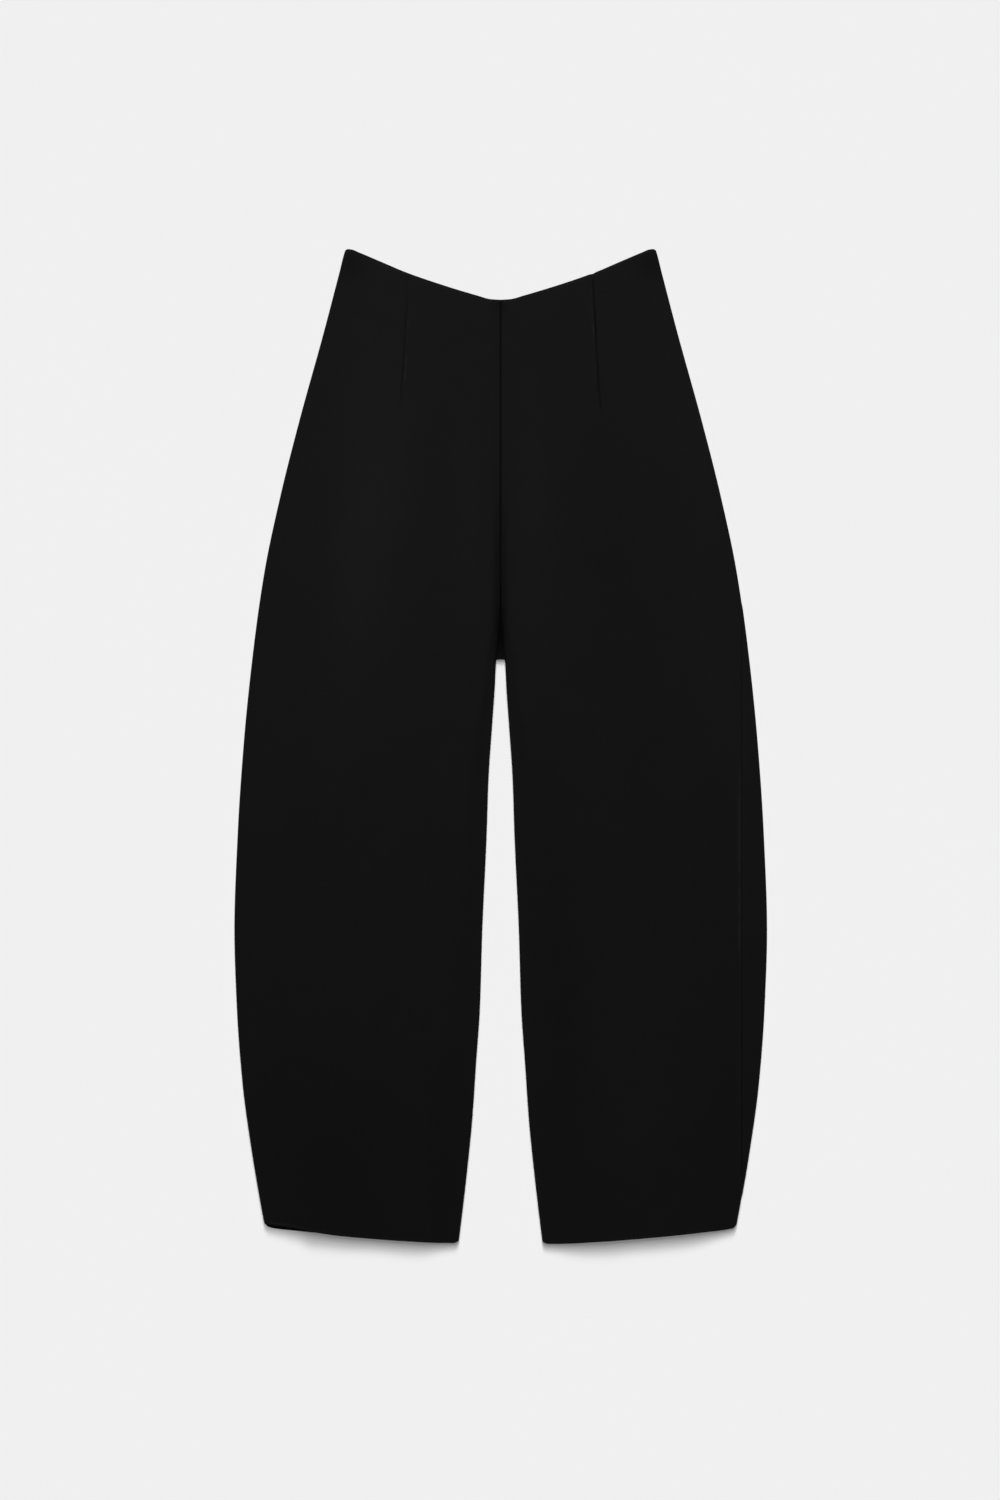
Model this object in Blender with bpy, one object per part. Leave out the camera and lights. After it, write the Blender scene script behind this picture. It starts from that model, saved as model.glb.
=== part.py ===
"""Barrel leg trousers in black crepe, laid flat on their back with the front up.

Frame: +X to the viewer's right, +Y toward the waist, +Z up, in metres. The origin is under the
middle of the garment, on the surface that it lies on. Right and left in a name are the wearer's,
so a right-hand piece lies at -X. Sizes below are in millimetres.

A "drop" is a distance down the garment from its highest point, the two ends of the waist edge.
A "station" is the same distance measured from the curved waist edge or from the curved hem, so
that a row of points on one station runs parallel to that edge. "Along" is the distance round a
leg's section from its outermost line: above zero over the face that shows, below zero under it.
"""

import math

import bmesh
import bpy
import numpy as np
from mathutils import Matrix

MM = 0.001
RIGHT, LEFT = -1, 1

# The cloth, its turned-in edges and its seams
LENGTH = 1052.0
CLOTH = 1.2
TURNED_CLOTH = 2.3
WAIST_TURN = 20.0
HEM_TURN = 35.0
FOLD_RADIUS = 3.0
QUARTER_FOLD = FOLD_RADIUS * math.pi / 2
HALF_SEAM = 0.15

# Where the body of the trousers ends and the legs begin
CROTCH_DROP = 434.0
FORK_DROP = 398.0
FORK_HALF_WIDTH = 4.6
CROTCH_LIFT = 3.0
CROTCH_LIFT_START = 330.0
CROTCH_LIFT_WIDTH = 22.0
CROTCH_ROUND = 5.0
FOOT_ROUND = 4.0
FOOT_FADE = 70.0
LEG_FORM_START = 345.0

# The left side seam is a straight line, and the leg's edge swells out past it
LEFT_SEAM_X = 255.5

# How the rows straighten from the curved waist edge, and curve again to the hem
WAIST_CURVE_FADE = 420.0
HEM_CURVE_START = 700.0

# The right leg lies a little shorter, and its front hem is caught up at its outer corner
HEM_CATCH_X = 231.0
HEM_CATCH_WIDTH = 26.0
HEM_CATCH_LENGTH = 70.0
HEM_CATCH_UP = 3.2
RIGHT_HEM_UP = 0.9
HEM_CATCH_RISE = 1.6

# Concealed zip at the centre back, and the channel in the cloth that its tab lies in
TAPE_START = 3.0
ZIP_LENGTH = 180.0
TAPE_WIDTH = 12.6
TAPE_THICKNESS = 0.5
LAYER_GAP = 0.3
CHANNEL_HEIGHT = 3.1
CHANNEL_HALF_WIDTH = 3.6
CHANNEL_SLOPE = 9.0
CHANNEL_END = 36.0
CHANNEL_FADE = 20.0
NOTCH_HALF_WIDTH = 1.3
NOTCH_LENGTH = 13.0
NOTCH_CLOSE = 5.5
SLIDER_WIDTH = 5.2
SLIDER_LENGTH = 8.0
SLIDER_THICKNESS = 2.0
BRIDGE_WIDTH = 1.2
BRIDGE_BAR = 0.85
BRIDGE_HALF_LENGTH = 2.3
BRIDGE_LOWEST = 0.5
TAB_LENGTH = 22.0
TAB_TIP_WIDTH = 4.4
TAB_TIP_TAPER = 4.0
TAB_TIP_SHARE = 0.6
TAB_ROOT_WIDTH = 3.6
TAB_THICKNESS = 0.9
TAB_HOLE_WIDTH = 2.0
TAB_HOLE_END = 3.4
TAB_TILT = math.radians(4.0)
HINGE_FROM_EDGE = 8.0
HINGE_Z = BRIDGE_LOWEST + BRIDGE_BAR + 0.3 + TAB_THICKNESS / 2

BLACK_CREPE = ((0.0094, 0.0094, 0.0094), 0.85, 0.0)
BLACK_TAPE = ((0.008, 0.008, 0.008), 0.75, 0.0)
BLACK_METAL = ((0.02, 0.02, 0.022), 0.4, 0.8)


def table(columns, *rows):
    """A short table, as one array for each named column."""
    return dict(zip(columns.split(), np.array(rows, float).T))


OUTER_EDGE = table(
    "drop  half_width",
    (0, 164.0),
    (2, 165.0),
    (25, 171.0),
    (90, 188.0),
    (180, 212.9),
    (260, 233.1),
    (340, 250.0),
    (420, 261.5),
    (520, 271.9),
    (620, 278.6),
    (720, 282.0),
    (800, 279.5),
    (880, 273.6),
    (950, 264.2),
    (1032, 250.0),
    (1052, 246.0),
)

INNER_EDGE = table(
    "drop  half_gap",
    (434, 3.6),
    (435.5, 4.3),
    (460, 5.5),
    (500, 8.3),
    (560, 12.3),
    (620, 14.3),
    (720, 18.9),
    (800, 21.3),
    (860, 25.4),
    (920, 29.5),
    (980, 35.6),
    (1028, 41.2),
    (1052, 44.2),
)

WAIST_EDGE = table(
    "x  drop",
    (0, 54.2),
    (10, 53.6),
    (25, 49.6),
    (60, 39.0),
    (100, 25.2),
    (130, 12.3),
    (150, 3.5),
    (158, 0.3),
    (162, 0.0),
    (165.5, 1.8),
)

HEM_EDGE = table(
    "x  rise",
    (44.0, 2.2),
    (50, 0.0),
    (105, 2.6),
    (160, 6.9),
    (215, 12.5),
    (245, 16.3),
    (250, 20.3),
)

# The face that shows: its height over the surface, its height along the middle line, and how far
# in from the inner edge it takes to reach its full height
FORM = table(
    "drop  height  middle_height  inner_slope",
    (0, 12.0, 11.7, 8),
    (53, 12.0, 11.7, 8),
    (150, 11.0, 10.5, 8),
    (255, 11.5, 10.4, 9),
    (330, 12.5, 8.0, 9),
    (398, 12.5, 7.0, 10),
    (434, 12.5, 7.0, 13),
    (520, 12.3, 7.0, 20),
    (690, 12.0, 7.0, 30),
    (900, 11.0, 7.0, 45),
    (1052, 10.5, 7.0, 50),
)
OUTER_SLOPE = 60.0

# The line that the front dart follows, then the middle of the leg
DART_LINE = table(
    "drop  x",
    (0, 95.5),
    (25, 97.0),
    (165, 105.5),
    (300, 124.0),
    (434, 133.0),
    (620, 147.0),
    (860, 150.0),
    (1052, 147.0),
)
DART_END = 165.0
DART_DEPTH = 0.6
DART_HALF_WIDTH = 11.0
DART_FADE = 30.0

# The largest soft folds of the front: their middle, their half length and half width, their
# height (below zero for a trough) and their turn from the leg's line, in degrees
FOLDS = table(
    "x  drop  half_length  half_width  height  turn",
    (-155, 320, 130, 26, 2.0, -8),
    (-78, 235, 110, 20, -1.2, 4),
    (-38, 260, 120, 17, 1.5, 2),
    (34, 262, 120, 16, 1.5, -2),
    (120, 300, 130, 40, -1.4, 8),
    (197, 175, 80, 16, 1.3, 14),
    (-205, 560, 150, 30, 1.2, -4),
    (-120, 640, 170, 36, -1.2, 2),
    (150, 610, 160, 34, 1.4, 4),
    (-196, 905, 110, 22, 1.2, 5),
    (-122, 925, 100, 18, -1.0, -3),
    (118, 900, 120, 24, 1.2, -3),
)
FOLD_FADE = 26.0

# Stations of the rows: near the waist each panel has its own, and from the thigh they share them,
# so that the faces on both sides of a rolled seam meet
LOWER_STATIONS = (
    230, 270, 310, 345, 375, 398, 415, 429, 431.5, 433, 433.8, 434.4, 436, 450, 480, 525, 585, 650,
    715, 780, 845, 905, 960, 1015.5, 1017, 1052,
)
FRONT_STATIONS = (0, 10, 20, 21.5, 45, 75, 108, 140, 165, 196) + LOWER_STATIONS
BACK_STATIONS = (0, 3, 9, 13, 18.5, 20, 21.5, 36, 46, 56, 80, 125, 180) + LOWER_STATIONS

# Columns of points across a panel, as distances from its side seam and from its inner edge
FROM_SIDE = (0, 1.6, 3.2, 4.8, 10, 20, 36)
FROM_INNER = (24, 14, 7, 4.8, 3.2, 1.6, 0)
SIDE_OF_DART = 2
INNER_OF_DART = 4
FRONT_COLUMNS = len(FROM_SIDE) + SIDE_OF_DART + 1 + INNER_OF_DART + len(FROM_INNER)
ROLL_STEP = 1.6
BACK_ROLL = tuple(ROLL_STEP * n for n in range(-3, 4))
BACK_UNDER = BACK_ROLL[3:]
ROLLED_COLUMNS = 3
BACK_FROM_SIDE = (9.0, 26.0)
BACK_MIDDLE = 2
BACK_FROM_CENTRE = (25, 12.6, 9, 6, 3.6, 1.6, 0)
LEAST_COLUMN = 0.45

# Rounds that settle each point's drop, which depends on its x, which depends on its drop
SETTLING_ROUNDS = 8


def smooth(value):
    """A smooth step from 0 to 1."""
    t = np.clip(value, 0.0, 1.0)
    return t * t * (3 - 2 * t)


def through(rows, key, value, at):
    """A smooth curve through a table's rows, with no overshoot between them."""
    x, y = rows[key], rows[value]
    at = np.clip(at, x[0], x[-1])
    step = np.diff(x)
    rise = np.diff(y) / step
    both = rise[:-1] * rise[1:]
    total = np.where(both > 0, rise[:-1] + rise[1:], 1.0)
    slope = np.concatenate(([rise[0]], np.where(both > 0, 2 * both / total, 0.0), [rise[-1]]))
    i = np.clip(np.searchsorted(x, at, side="right") - 1, 0, len(step) - 1)
    t = (at - x[i]) / step[i]
    rest = 1 - t
    ends = y[i] * rest * rest * (1 + 2 * t) + y[i + 1] * t * t * (3 - 2 * t)
    return ends + step[i] * t * rest * (slope[i] * rest - slope[i + 1] * t)


def outer_edge(drop):
    return through(OUTER_EDGE, "drop", "half_width", drop)


def inner_edge(drop):
    """The inner edge of a leg, or the seam in the middle above the crotch."""
    leg = through(INNER_EDGE, "drop", "half_gap", drop)
    return np.where(drop < CROTCH_DROP, HALF_SEAM, leg)


def girth(drop):
    """Half the way round a section: from its outermost line to its inner edge."""
    width = outer_edge(drop) - inner_edge(drop)
    folds = np.where(drop < CROTCH_DROP, 1, 2)
    return width + folds * (QUARTER_FOLD - FOLD_RADIUS)


def round_fold(arc):
    """How far in, and how far up from its middle, a point lies that is an arc round a folded edge."""
    angle = np.clip(arc / FOLD_RADIUS, 0.0, math.pi / 2)
    inward = FOLD_RADIUS * (1 - np.cos(angle)) + np.maximum(arc - QUARTER_FOLD, 0.0)
    return inward, FOLD_RADIUS * np.sin(angle)


def arc_of(inward):
    """The arc round a folded edge that reaches this far in."""
    cosine = 1 - np.clip(inward, 0.0, FOLD_RADIUS) / FOLD_RADIUS
    return FOLD_RADIUS * np.arccos(cosine) + np.maximum(inward - FOLD_RADIUS, 0.0)


def fork(drop):
    """Half the width between the two fronts, which part just above the crotch."""
    opened = (drop - FORK_DROP) / (CROTCH_DROP - FORK_DROP)
    return HALF_SEAM + (FORK_HALF_WIDTH - HALF_SEAM) * np.clip(opened, 0.0, 1.0)


def fold_relief(side, x, drop, fold_fade):
    """The soft folds of the front, faded out before they reach an edge."""
    height = np.zeros_like(x)
    for fx, fdrop, half_length, half_width, rise, turn in zip(*FOLDS.values()):
        if fx * side < 0:
            continue
        cosine, sine = math.cos(math.radians(turn)), math.sin(math.radians(turn))
        across = side * x - fx
        down = drop - fdrop
        lengthways = (cosine * down + sine * across) / half_length
        sideways = (cosine * across - sine * down) / half_width
        height = height + rise * np.exp(-(lengthways**2) - sideways**2)
    return height * fold_fade


def dart_groove(x, drop):
    """The dart's seam draws the cloth in along its line."""
    lane = through(DART_LINE, "drop", "x", drop)
    fade = smooth((DART_END + DART_FADE / 2 - drop) / DART_FADE)
    return -DART_DEPTH * fade * smooth(1 - np.abs(x - lane) / DART_HALF_WIDTH)


def underside_lift(x, drop):
    """How far the back is off the surface: over the zip's tab, and just above the crotch."""
    from_edge = drop - WAIST_EDGE["drop"][0]
    channel = CHANNEL_HEIGHT * smooth(1 - (from_edge - CHANNEL_END) / CHANNEL_FADE)
    channel = channel * smooth(1 - (x - CHANNEL_HALF_WIDTH) / CHANNEL_SLOPE)
    rising = smooth((drop - CROTCH_LIFT_START) / (FORK_DROP - CROTCH_LIFT_START))
    crotch = CROTCH_LIFT * rising * smooth(1 - x / CROTCH_LIFT_WIDTH)
    return channel + np.where(drop < CROTCH_DROP, crotch, 0.0)


def quarter_round(share):
    """The height of a quarter circle, from 0 at its foot to 1 at its top."""
    return np.sqrt(np.clip(1 - (1 - np.clip(share, 0.0, 1.0)) ** 2, 0.0, 1.0))


def foot_height(from_start, drop):
    """How high the front starts at its inner edge, over a fold's middle, and its share just there.

    It fades out down the leg. Along the legs, and round the end of the crotch, the edge rolls down.
    """
    foot = through(FORM, "drop", "middle_height", drop) - FOLD_RADIUS
    foot = foot * smooth(1 - (drop - CROTCH_DROP) / FOOT_FADE)
    edge = quarter_round(from_start / FOOT_ROUND)
    end = quarter_round((CROTCH_DROP - drop) / CROTCH_ROUND)
    return foot, edge + (1 - edge) * end


def section(side, along, drop):
    """x, counted from the middle line, and z of the outer face of the cloth."""
    is_leg = drop >= CROTCH_DROP
    outer, inner, half_round = outer_edge(drop), inner_edge(drop), girth(drop)
    arc = np.abs(along)
    from_outer, outer_up = round_fold(arc)
    rest = np.maximum(half_round - arc, 0.0)
    leg_in, leg_up = round_fold(rest)
    from_inner = np.where(is_leg, leg_in, rest)
    inner_up = np.where(is_leg, leg_up, FOLD_RADIUS)
    x = np.where(arc < half_round / 2, outer - from_outer, inner + from_inner)

    height = through(FORM, "drop", "height", drop)
    slope = through(FORM, "drop", "inner_slope", drop)
    above = height - FOLD_RADIUS
    crown = height - 2 * FOLD_RADIUS
    outer_rise = outer_up + crown * smooth(from_outer / OUTER_SLOPE)
    from_start = np.maximum(x - np.where(is_leg, inner, fork(drop)), 0.0)
    gentle = smooth(from_start / slope)
    rounded = (FOLD_RADIUS * quarter_round(from_start / FOLD_RADIUS) + crown * gentle) / above
    near_leg = smooth((drop - LEG_FORM_START) / (CROTCH_DROP - LEG_FORM_START))
    foot, foot_share = foot_height(from_start, drop)
    inner_rise = foot * foot_share + (above - foot) * (gentle + (rounded - gentle) * near_leg)
    fade = smooth(from_outer / FOLD_FADE) * smooth(from_inner / FOLD_FADE)
    relief = fold_relief(side, x, drop, fade) + dart_groove(x, drop)
    front_z = FOLD_RADIUS + outer_rise * inner_rise / above + relief

    back_z = FOLD_RADIUS - np.minimum(outer_up, inner_up) + underside_lift(x, drop)
    return x, np.where(along >= 0, front_z, back_z)


def drop_at(station, side, x, is_front):
    """The drop of a point on a station's row, which follows the waist edge and the hem."""
    dip = through(WAIST_EDGE, "x", "drop", x) * smooth(1 - station / WAIST_CURVE_FADE)
    rise = through(HEM_EDGE, "x", "rise", x) + (RIGHT_HEM_UP if side == RIGHT else 0.0)
    rise = rise * smooth((station - HEM_CURVE_START) / (LENGTH - HEM_CURVE_START))
    caught = hem_catch(station, side, x) if is_front else 0.0
    return station + dip - rise - HEM_CATCH_UP * caught


def hem_catch(station, side, x):
    """1 where the right front hem is caught up, fading to 0 round it."""
    if side == LEFT:
        return np.zeros_like(x)
    near = np.exp(-(((x - HEM_CATCH_X) / HEM_CATCH_WIDTH) ** 2))
    return near * smooth(1 - (LENGTH - station) / HEM_CATCH_LENGTH)


def side_seam(side, drop):
    """Where the side seam lies along the section: at the edge, or rolled on to the front."""
    if side == RIGHT:
        return np.zeros_like(drop)
    return arc_of(np.maximum(outer_edge(drop) - LEFT_SEAM_X, 0.0))


def front_columns(side, drop):
    """The front's points along the section, from its side seam to its inner edge."""
    columns = []
    for number in range(drop.shape[1]):
        at = drop[:, number]
        start = side_seam(side, at) + HALF_SEAM
        inset = np.where(at < CROTCH_DROP, fork(at) - HALF_SEAM, HALF_SEAM)
        end = girth(at) - inset
        lane = through(DART_LINE, "drop", "x", at)
        dart = outer_edge(at) - lane - FOLD_RADIUS + QUARTER_FOLD
        first, last = start + FROM_SIDE[-1], end - FROM_INNER[0]
        outer_part = [start + away for away in FROM_SIDE]
        outer_part += [first + (dart - first) * n / (SIDE_OF_DART + 1) for n in range(1, SIDE_OF_DART + 1)]
        inner_part = [dart + (last - dart) * n / (INNER_OF_DART + 1) for n in range(INNER_OF_DART + 1)]
        inner_part += [end - away for away in FROM_INNER]
        columns.append((outer_part + inner_part)[number])
    return np.stack(columns, axis=1)


def back_columns(side, drop):
    """The back's points along the section, from its side seam, under the leg, to its inner edge."""
    columns = []
    for number in range(drop.shape[1]):
        at = drop[:, number]
        seam = side_seam(side, at) - HALF_SEAM
        end = -girth(at) + np.where(at < CROTCH_DROP, notch_inset(at), HALF_SEAM)
        if side == LEFT:
            part = [seam, seam - ROLL_STEP, (seam + BACK_ROLL[-1]) / 2]
            part += [np.full_like(at, -reach) for reach in BACK_ROLL]
        else:
            part = [seam] + [np.full_like(at, -reach) for reach in BACK_UNDER]
        part += [np.full_like(at, -QUARTER_FOLD - away) for away in BACK_FROM_SIDE]
        first, last = part[-1], end + BACK_FROM_CENTRE[0]
        part += [first + (last - first) * n / (BACK_MIDDLE + 1) for n in range(1, BACK_MIDDLE + 1)]
        limited = [np.minimum(value, seam - LEAST_COLUMN * n) for n, value in enumerate(part)]
        limited += [end + away for away in BACK_FROM_CENTRE]
        columns.append(limited[number])
    return np.stack(columns, axis=1)


def back_column_count(side):
    rolled = ROLLED_COLUMNS + len(BACK_ROLL) if side == LEFT else 1 + len(BACK_UNDER)
    return rolled + len(BACK_FROM_SIDE) + BACK_MIDDLE + len(BACK_FROM_CENTRE)


def notch_inset(drop):
    """The back's edges part at the top of the zip, where the slider's bridge comes through."""
    from_edge = drop - WAIST_EDGE["drop"][0]
    return NOTCH_HALF_WIDTH * smooth(1 - (from_edge - NOTCH_LENGTH) / NOTCH_CLOSE)


def cloth_thickness(station):
    """One layer of cloth, or two where the waist and the hem are turned in."""
    turned = (station <= WAIST_TURN) | (station >= LENGTH - HEM_TURN)
    return np.where(turned, TURNED_CLOTH, CLOTH)


def lay_out(side, stations, count, columns_at, is_front):
    """The points of a panel: station, along and drop, one row for each station."""
    station = np.repeat(np.array(stations, float)[:, None], count, axis=1)
    drop = station.copy()
    for _ in range(SETTLING_ROUNDS):
        along = columns_at(side, drop)
        x, _z = section(side, along, drop)
        drop = drop_at(station, side, x, is_front)
    return station, columns_at(side, drop), drop


def outward(side, along, drop):
    """The direction out of the cloth at each point, within its section."""
    step = 0.02
    x1, z1 = section(side, along - step, drop)
    x2, z2 = section(side, along + step, drop)
    length = np.hypot(x2 - x1, z2 - z1)
    return (z2 - z1) / length, (x1 - x2) / length


def face_points(side, station, along, drop, depth, is_front):
    """World points of a panel's face, this deep below its outer face."""
    x, z = section(side, along, drop)
    nx, nz = outward(side, along, drop)
    if is_front:
        z = z + HEM_CATCH_RISE * hem_catch(station, side, x)
    points = np.stack((side * (x - nx * depth), LENGTH / 2 - drop, z - nz * depth), axis=-1)
    return points * MM


def material(name, look):
    colour, roughness, metallic = look
    made = bpy.data.materials.new(name)
    made.use_nodes = True
    shader = made.node_tree.nodes["Principled BSDF"]
    shader.inputs["Base Color"].default_value = (*colour, 1.0)
    shader.inputs["Roughness"].default_value = roughness
    shader.inputs["Metallic"].default_value = metallic
    made.diffuse_color = (*colour, 1.0)
    return made


def add_object(name, mesh, finish):
    mesh.materials.append(finish)
    mesh.shade_smooth()
    mesh.set_sharp_from_angle(angle=math.radians(50))
    made = bpy.data.objects.new(name, mesh)
    bpy.context.scene.collection.objects.link(made)
    return made


def walled_sheet(name, outer, inner, finish):
    """A closed wall between two grids of points."""
    rows, count = outer.shape[:2]
    build = bmesh.new()
    layers = [[[build.verts.new(p) for p in row] for row in grid] for grid in (outer, inner)]
    for grid in layers:
        for r in range(rows - 1):
            for c in range(count - 1):
                build.faces.new((grid[r][c], grid[r][c + 1], grid[r + 1][c + 1], grid[r + 1][c]))
    rim = [(r, 0) for r in range(rows)] + [(rows - 1, c) for c in range(1, count)]
    rim += [(r, count - 1) for r in range(rows - 2, -1, -1)] + [(0, c) for c in range(count - 2, 0, -1)]
    for (r1, c1), (r2, c2) in zip(rim, rim[1:] + rim[:1]):
        build.faces.new((layers[0][r1][c1], layers[0][r2][c2], layers[1][r2][c2], layers[1][r1][c1]))
    bmesh.ops.recalc_face_normals(build, faces=build.faces)
    mesh = bpy.data.meshes.new(name)
    build.to_mesh(mesh)
    build.free()
    return add_object(name, mesh, finish)


def make_front(name, side, finish):
    placed = lay_out(side, FRONT_STATIONS, FRONT_COLUMNS, front_columns, True)
    outer = face_points(side, *placed, 0.0, True)
    inner = face_points(side, *placed, cloth_thickness(placed[0]), True)
    return walled_sheet(name, outer, inner, finish)


def make_back(name, side, finish):
    placed = lay_out(side, BACK_STATIONS, back_column_count(side), back_columns, False)
    outer = face_points(side, *placed, 0.0, False)
    inner = face_points(side, *placed, cloth_thickness(placed[0]), False)
    return walled_sheet(name, outer, inner, finish)


def make_tape(name, side, finish):
    """A zip tape lies on the inside of the back, on the back's own points moved out."""
    count = back_column_count(side)
    station, along, drop = lay_out(side, BACK_STATIONS, count, back_columns, False)
    rows = [n for n, at in enumerate(BACK_STATIONS) if TAPE_START <= at <= ZIP_LENGTH]
    columns = slice(count - len(BACK_FROM_CENTRE) + 1, count)
    station, along, drop = (grid[rows][:, columns] for grid in (station, along, drop))
    along[:, -1] += LAYER_GAP / 2
    near = cloth_thickness(station) + LAYER_GAP
    outer = face_points(side, station, along, drop, near, False)
    inner = face_points(side, station, along, drop, near + TAPE_THICKNESS, False)
    return walled_sheet(name, outer, inner, finish)


def box(build, low, high):
    """Adds a box between two corners, in millimetres."""
    size = [b - a for a, b in zip(low, high)]
    middle = [(a + b) / 2 for a, b in zip(low, high)]
    place = Matrix.Translation(middle) @ Matrix.Diagonal((*size, 1.0))
    bmesh.ops.create_cube(build, size=1.0, matrix=place)


def box_mesh(name, low, high):
    build = bmesh.new()
    box(build, [v * MM for v in low], [v * MM for v in high])
    mesh = bpy.data.meshes.new(name)
    build.to_mesh(mesh)
    build.free()
    return mesh


def helper(name, low, high, parent):
    """A cutter or a piece to be joined on, which isn't part of the object by itself."""
    made = bpy.data.objects.new(name, box_mesh(name, low, high))
    bpy.context.scene.collection.objects.link(made)
    made.parent = parent
    made.hide_render = True
    made.display_type = "WIRE"
    return made


def combine(target, other, operation):
    join = target.modifiers.new(other.name, "BOOLEAN")
    join.operation = operation
    join.object = other
    join.solver = "EXACT"


def hinge_place():
    """The tab's hinge line crosses the middle line just below the back's waist edge."""
    drop = WAIST_EDGE["drop"][0] + HINGE_FROM_EDGE
    return (0.0, (LENGTH / 2 - drop) * MM, HINGE_Z * MM)


def make_slider(finish):
    """The slider sits on the tapes, and its bridge comes down between the backs' edges."""
    hinge = hinge_place()
    bottom = CHANNEL_HEIGHT + TURNED_CLOTH + LAYER_GAP + TAPE_THICKNESS + LAYER_GAP - HINGE_Z
    half_width, half_length = SLIDER_WIDTH / 2, SLIDER_LENGTH / 2
    mesh = box_mesh(
        "zip_slider",
        (-half_width, -half_length, bottom),
        (half_width, half_length, bottom + SLIDER_THICKNESS),
    )
    slider = add_object("zip_slider", mesh, finish)
    slider.location = hinge
    low = BRIDGE_LOWEST - HINGE_Z
    bridge = helper(
        "slider_bridge",
        (-BRIDGE_WIDTH / 2, -BRIDGE_HALF_LENGTH, low),
        (BRIDGE_WIDTH / 2, BRIDGE_HALF_LENGTH, bottom + SLIDER_THICKNESS / 2),
        slider,
    )
    eye_half = BRIDGE_HALF_LENGTH - BRIDGE_BAR
    eye = helper(
        "slider_eye",
        (-BRIDGE_WIDTH, -eye_half, low + BRIDGE_BAR),
        (BRIDGE_WIDTH, eye_half, eye_half),
        slider,
    )
    combine(slider, bridge, "UNION")
    combine(slider, eye, "DIFFERENCE")
    return slider


def make_tab(finish):
    """The pull tab turns round the bar at its root. At rest its tip lies on the surface."""
    half = TAB_THICKNESS / 2
    build = bmesh.new()
    root, tip = TAB_ROOT_WIDTH / 2, TAB_TIP_WIDTH / 2
    shoulder, end = -TAB_LENGTH + TAB_TIP_TAPER, -TAB_LENGTH + half
    outline = [(-root, half), (root, half), (tip, shoulder), (tip * TAB_TIP_SHARE, end)]
    outline += [(-tip * TAB_TIP_SHARE, end), (-tip, shoulder)]
    face = build.faces.new([build.verts.new((x * MM, y * MM, -half * MM)) for x, y in outline])
    raised = bmesh.ops.extrude_face_region(build, geom=[face])["geom"]
    moved = [v for v in raised if isinstance(v, bmesh.types.BMVert)]
    bmesh.ops.translate(build, verts=moved, vec=(0, 0, TAB_THICKNESS * MM))
    bmesh.ops.recalc_face_normals(build, faces=build.faces)
    mesh = bpy.data.meshes.new("zip_pull")
    build.to_mesh(mesh)
    build.free()
    tab = add_object("zip_pull", mesh, finish)
    tab.location = hinge_place()
    tab.rotation_euler = (TAB_TILT, 0.0, 0.0)
    hole = helper(
        "tab_hole",
        (-TAB_HOLE_WIDTH / 2, -TAB_HOLE_END, -1.0),
        (TAB_HOLE_WIDTH / 2, -half, 1.0),
        tab,
    )
    combine(tab, hole, "DIFFERENCE")
    return tab


def main():
    for old in list(bpy.data.objects):
        bpy.data.objects.remove(old, do_unlink=True)
    crepe = material("black_crepe", BLACK_CREPE)
    tape = material("black_tape", BLACK_TAPE)
    metal = material("black_metal", BLACK_METAL)
    for hand, side in (("right", RIGHT), ("left", LEFT)):
        make_front(f"front_{hand}", side, crepe)
        make_back(f"back_{hand}", side, crepe)
        make_tape(f"zip_tape_{hand}", side, tape)
    make_slider(metal)
    make_tab(metal)


main()
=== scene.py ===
"""The looks of a pair of barrel leg trousers in black crepe, laid flat on their back.

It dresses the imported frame: fine cloth shells for the four panels, the closed zip at the centre
back, the sewing, the materials, and a plain pale stage. Shapes are worked out in millimetres, in
the frame's own axes: +X to the viewer's right, +Y toward the waist, +Z up.

A "drop" is a distance down the garment from the ends of its waist edge. A "station" is the same
distance counted from the curved waist edge or hem, so a row of points on one station follows that
edge. "Along" is the distance round a leg's section from its outermost line: above zero over the
face that shows, below zero under it.
"""

import math

import bmesh
import bpy
import numpy as np
from bpy.props import FloatProperty, FloatVectorProperty, PointerProperty
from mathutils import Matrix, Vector


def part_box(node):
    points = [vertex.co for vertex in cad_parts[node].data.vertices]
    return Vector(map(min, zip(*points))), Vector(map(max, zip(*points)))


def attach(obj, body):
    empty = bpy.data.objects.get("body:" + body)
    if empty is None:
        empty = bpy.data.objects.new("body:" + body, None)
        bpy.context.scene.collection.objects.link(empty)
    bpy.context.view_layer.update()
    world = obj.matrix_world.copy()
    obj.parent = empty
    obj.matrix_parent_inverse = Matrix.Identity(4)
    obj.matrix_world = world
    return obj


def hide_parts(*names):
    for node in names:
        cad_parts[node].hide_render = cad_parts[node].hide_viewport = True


bl_info = {
    "name": "Barrel Leg Trousers",
    "version": (1, 0, 0),
    "blender": (4, 5, 0),
    "location": "3D View > Sidebar > Trousers",
    "description": "Dresses a flat-laid pair of barrel leg trousers and sets its stage",
    "category": "Object",
}

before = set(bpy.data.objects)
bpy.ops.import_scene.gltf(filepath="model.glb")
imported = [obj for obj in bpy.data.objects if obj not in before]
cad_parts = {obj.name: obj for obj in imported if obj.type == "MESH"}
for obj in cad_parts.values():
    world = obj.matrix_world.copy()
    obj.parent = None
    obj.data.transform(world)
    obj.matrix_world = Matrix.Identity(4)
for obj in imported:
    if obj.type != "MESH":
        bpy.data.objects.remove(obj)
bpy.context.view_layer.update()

MM = 0.001

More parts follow.
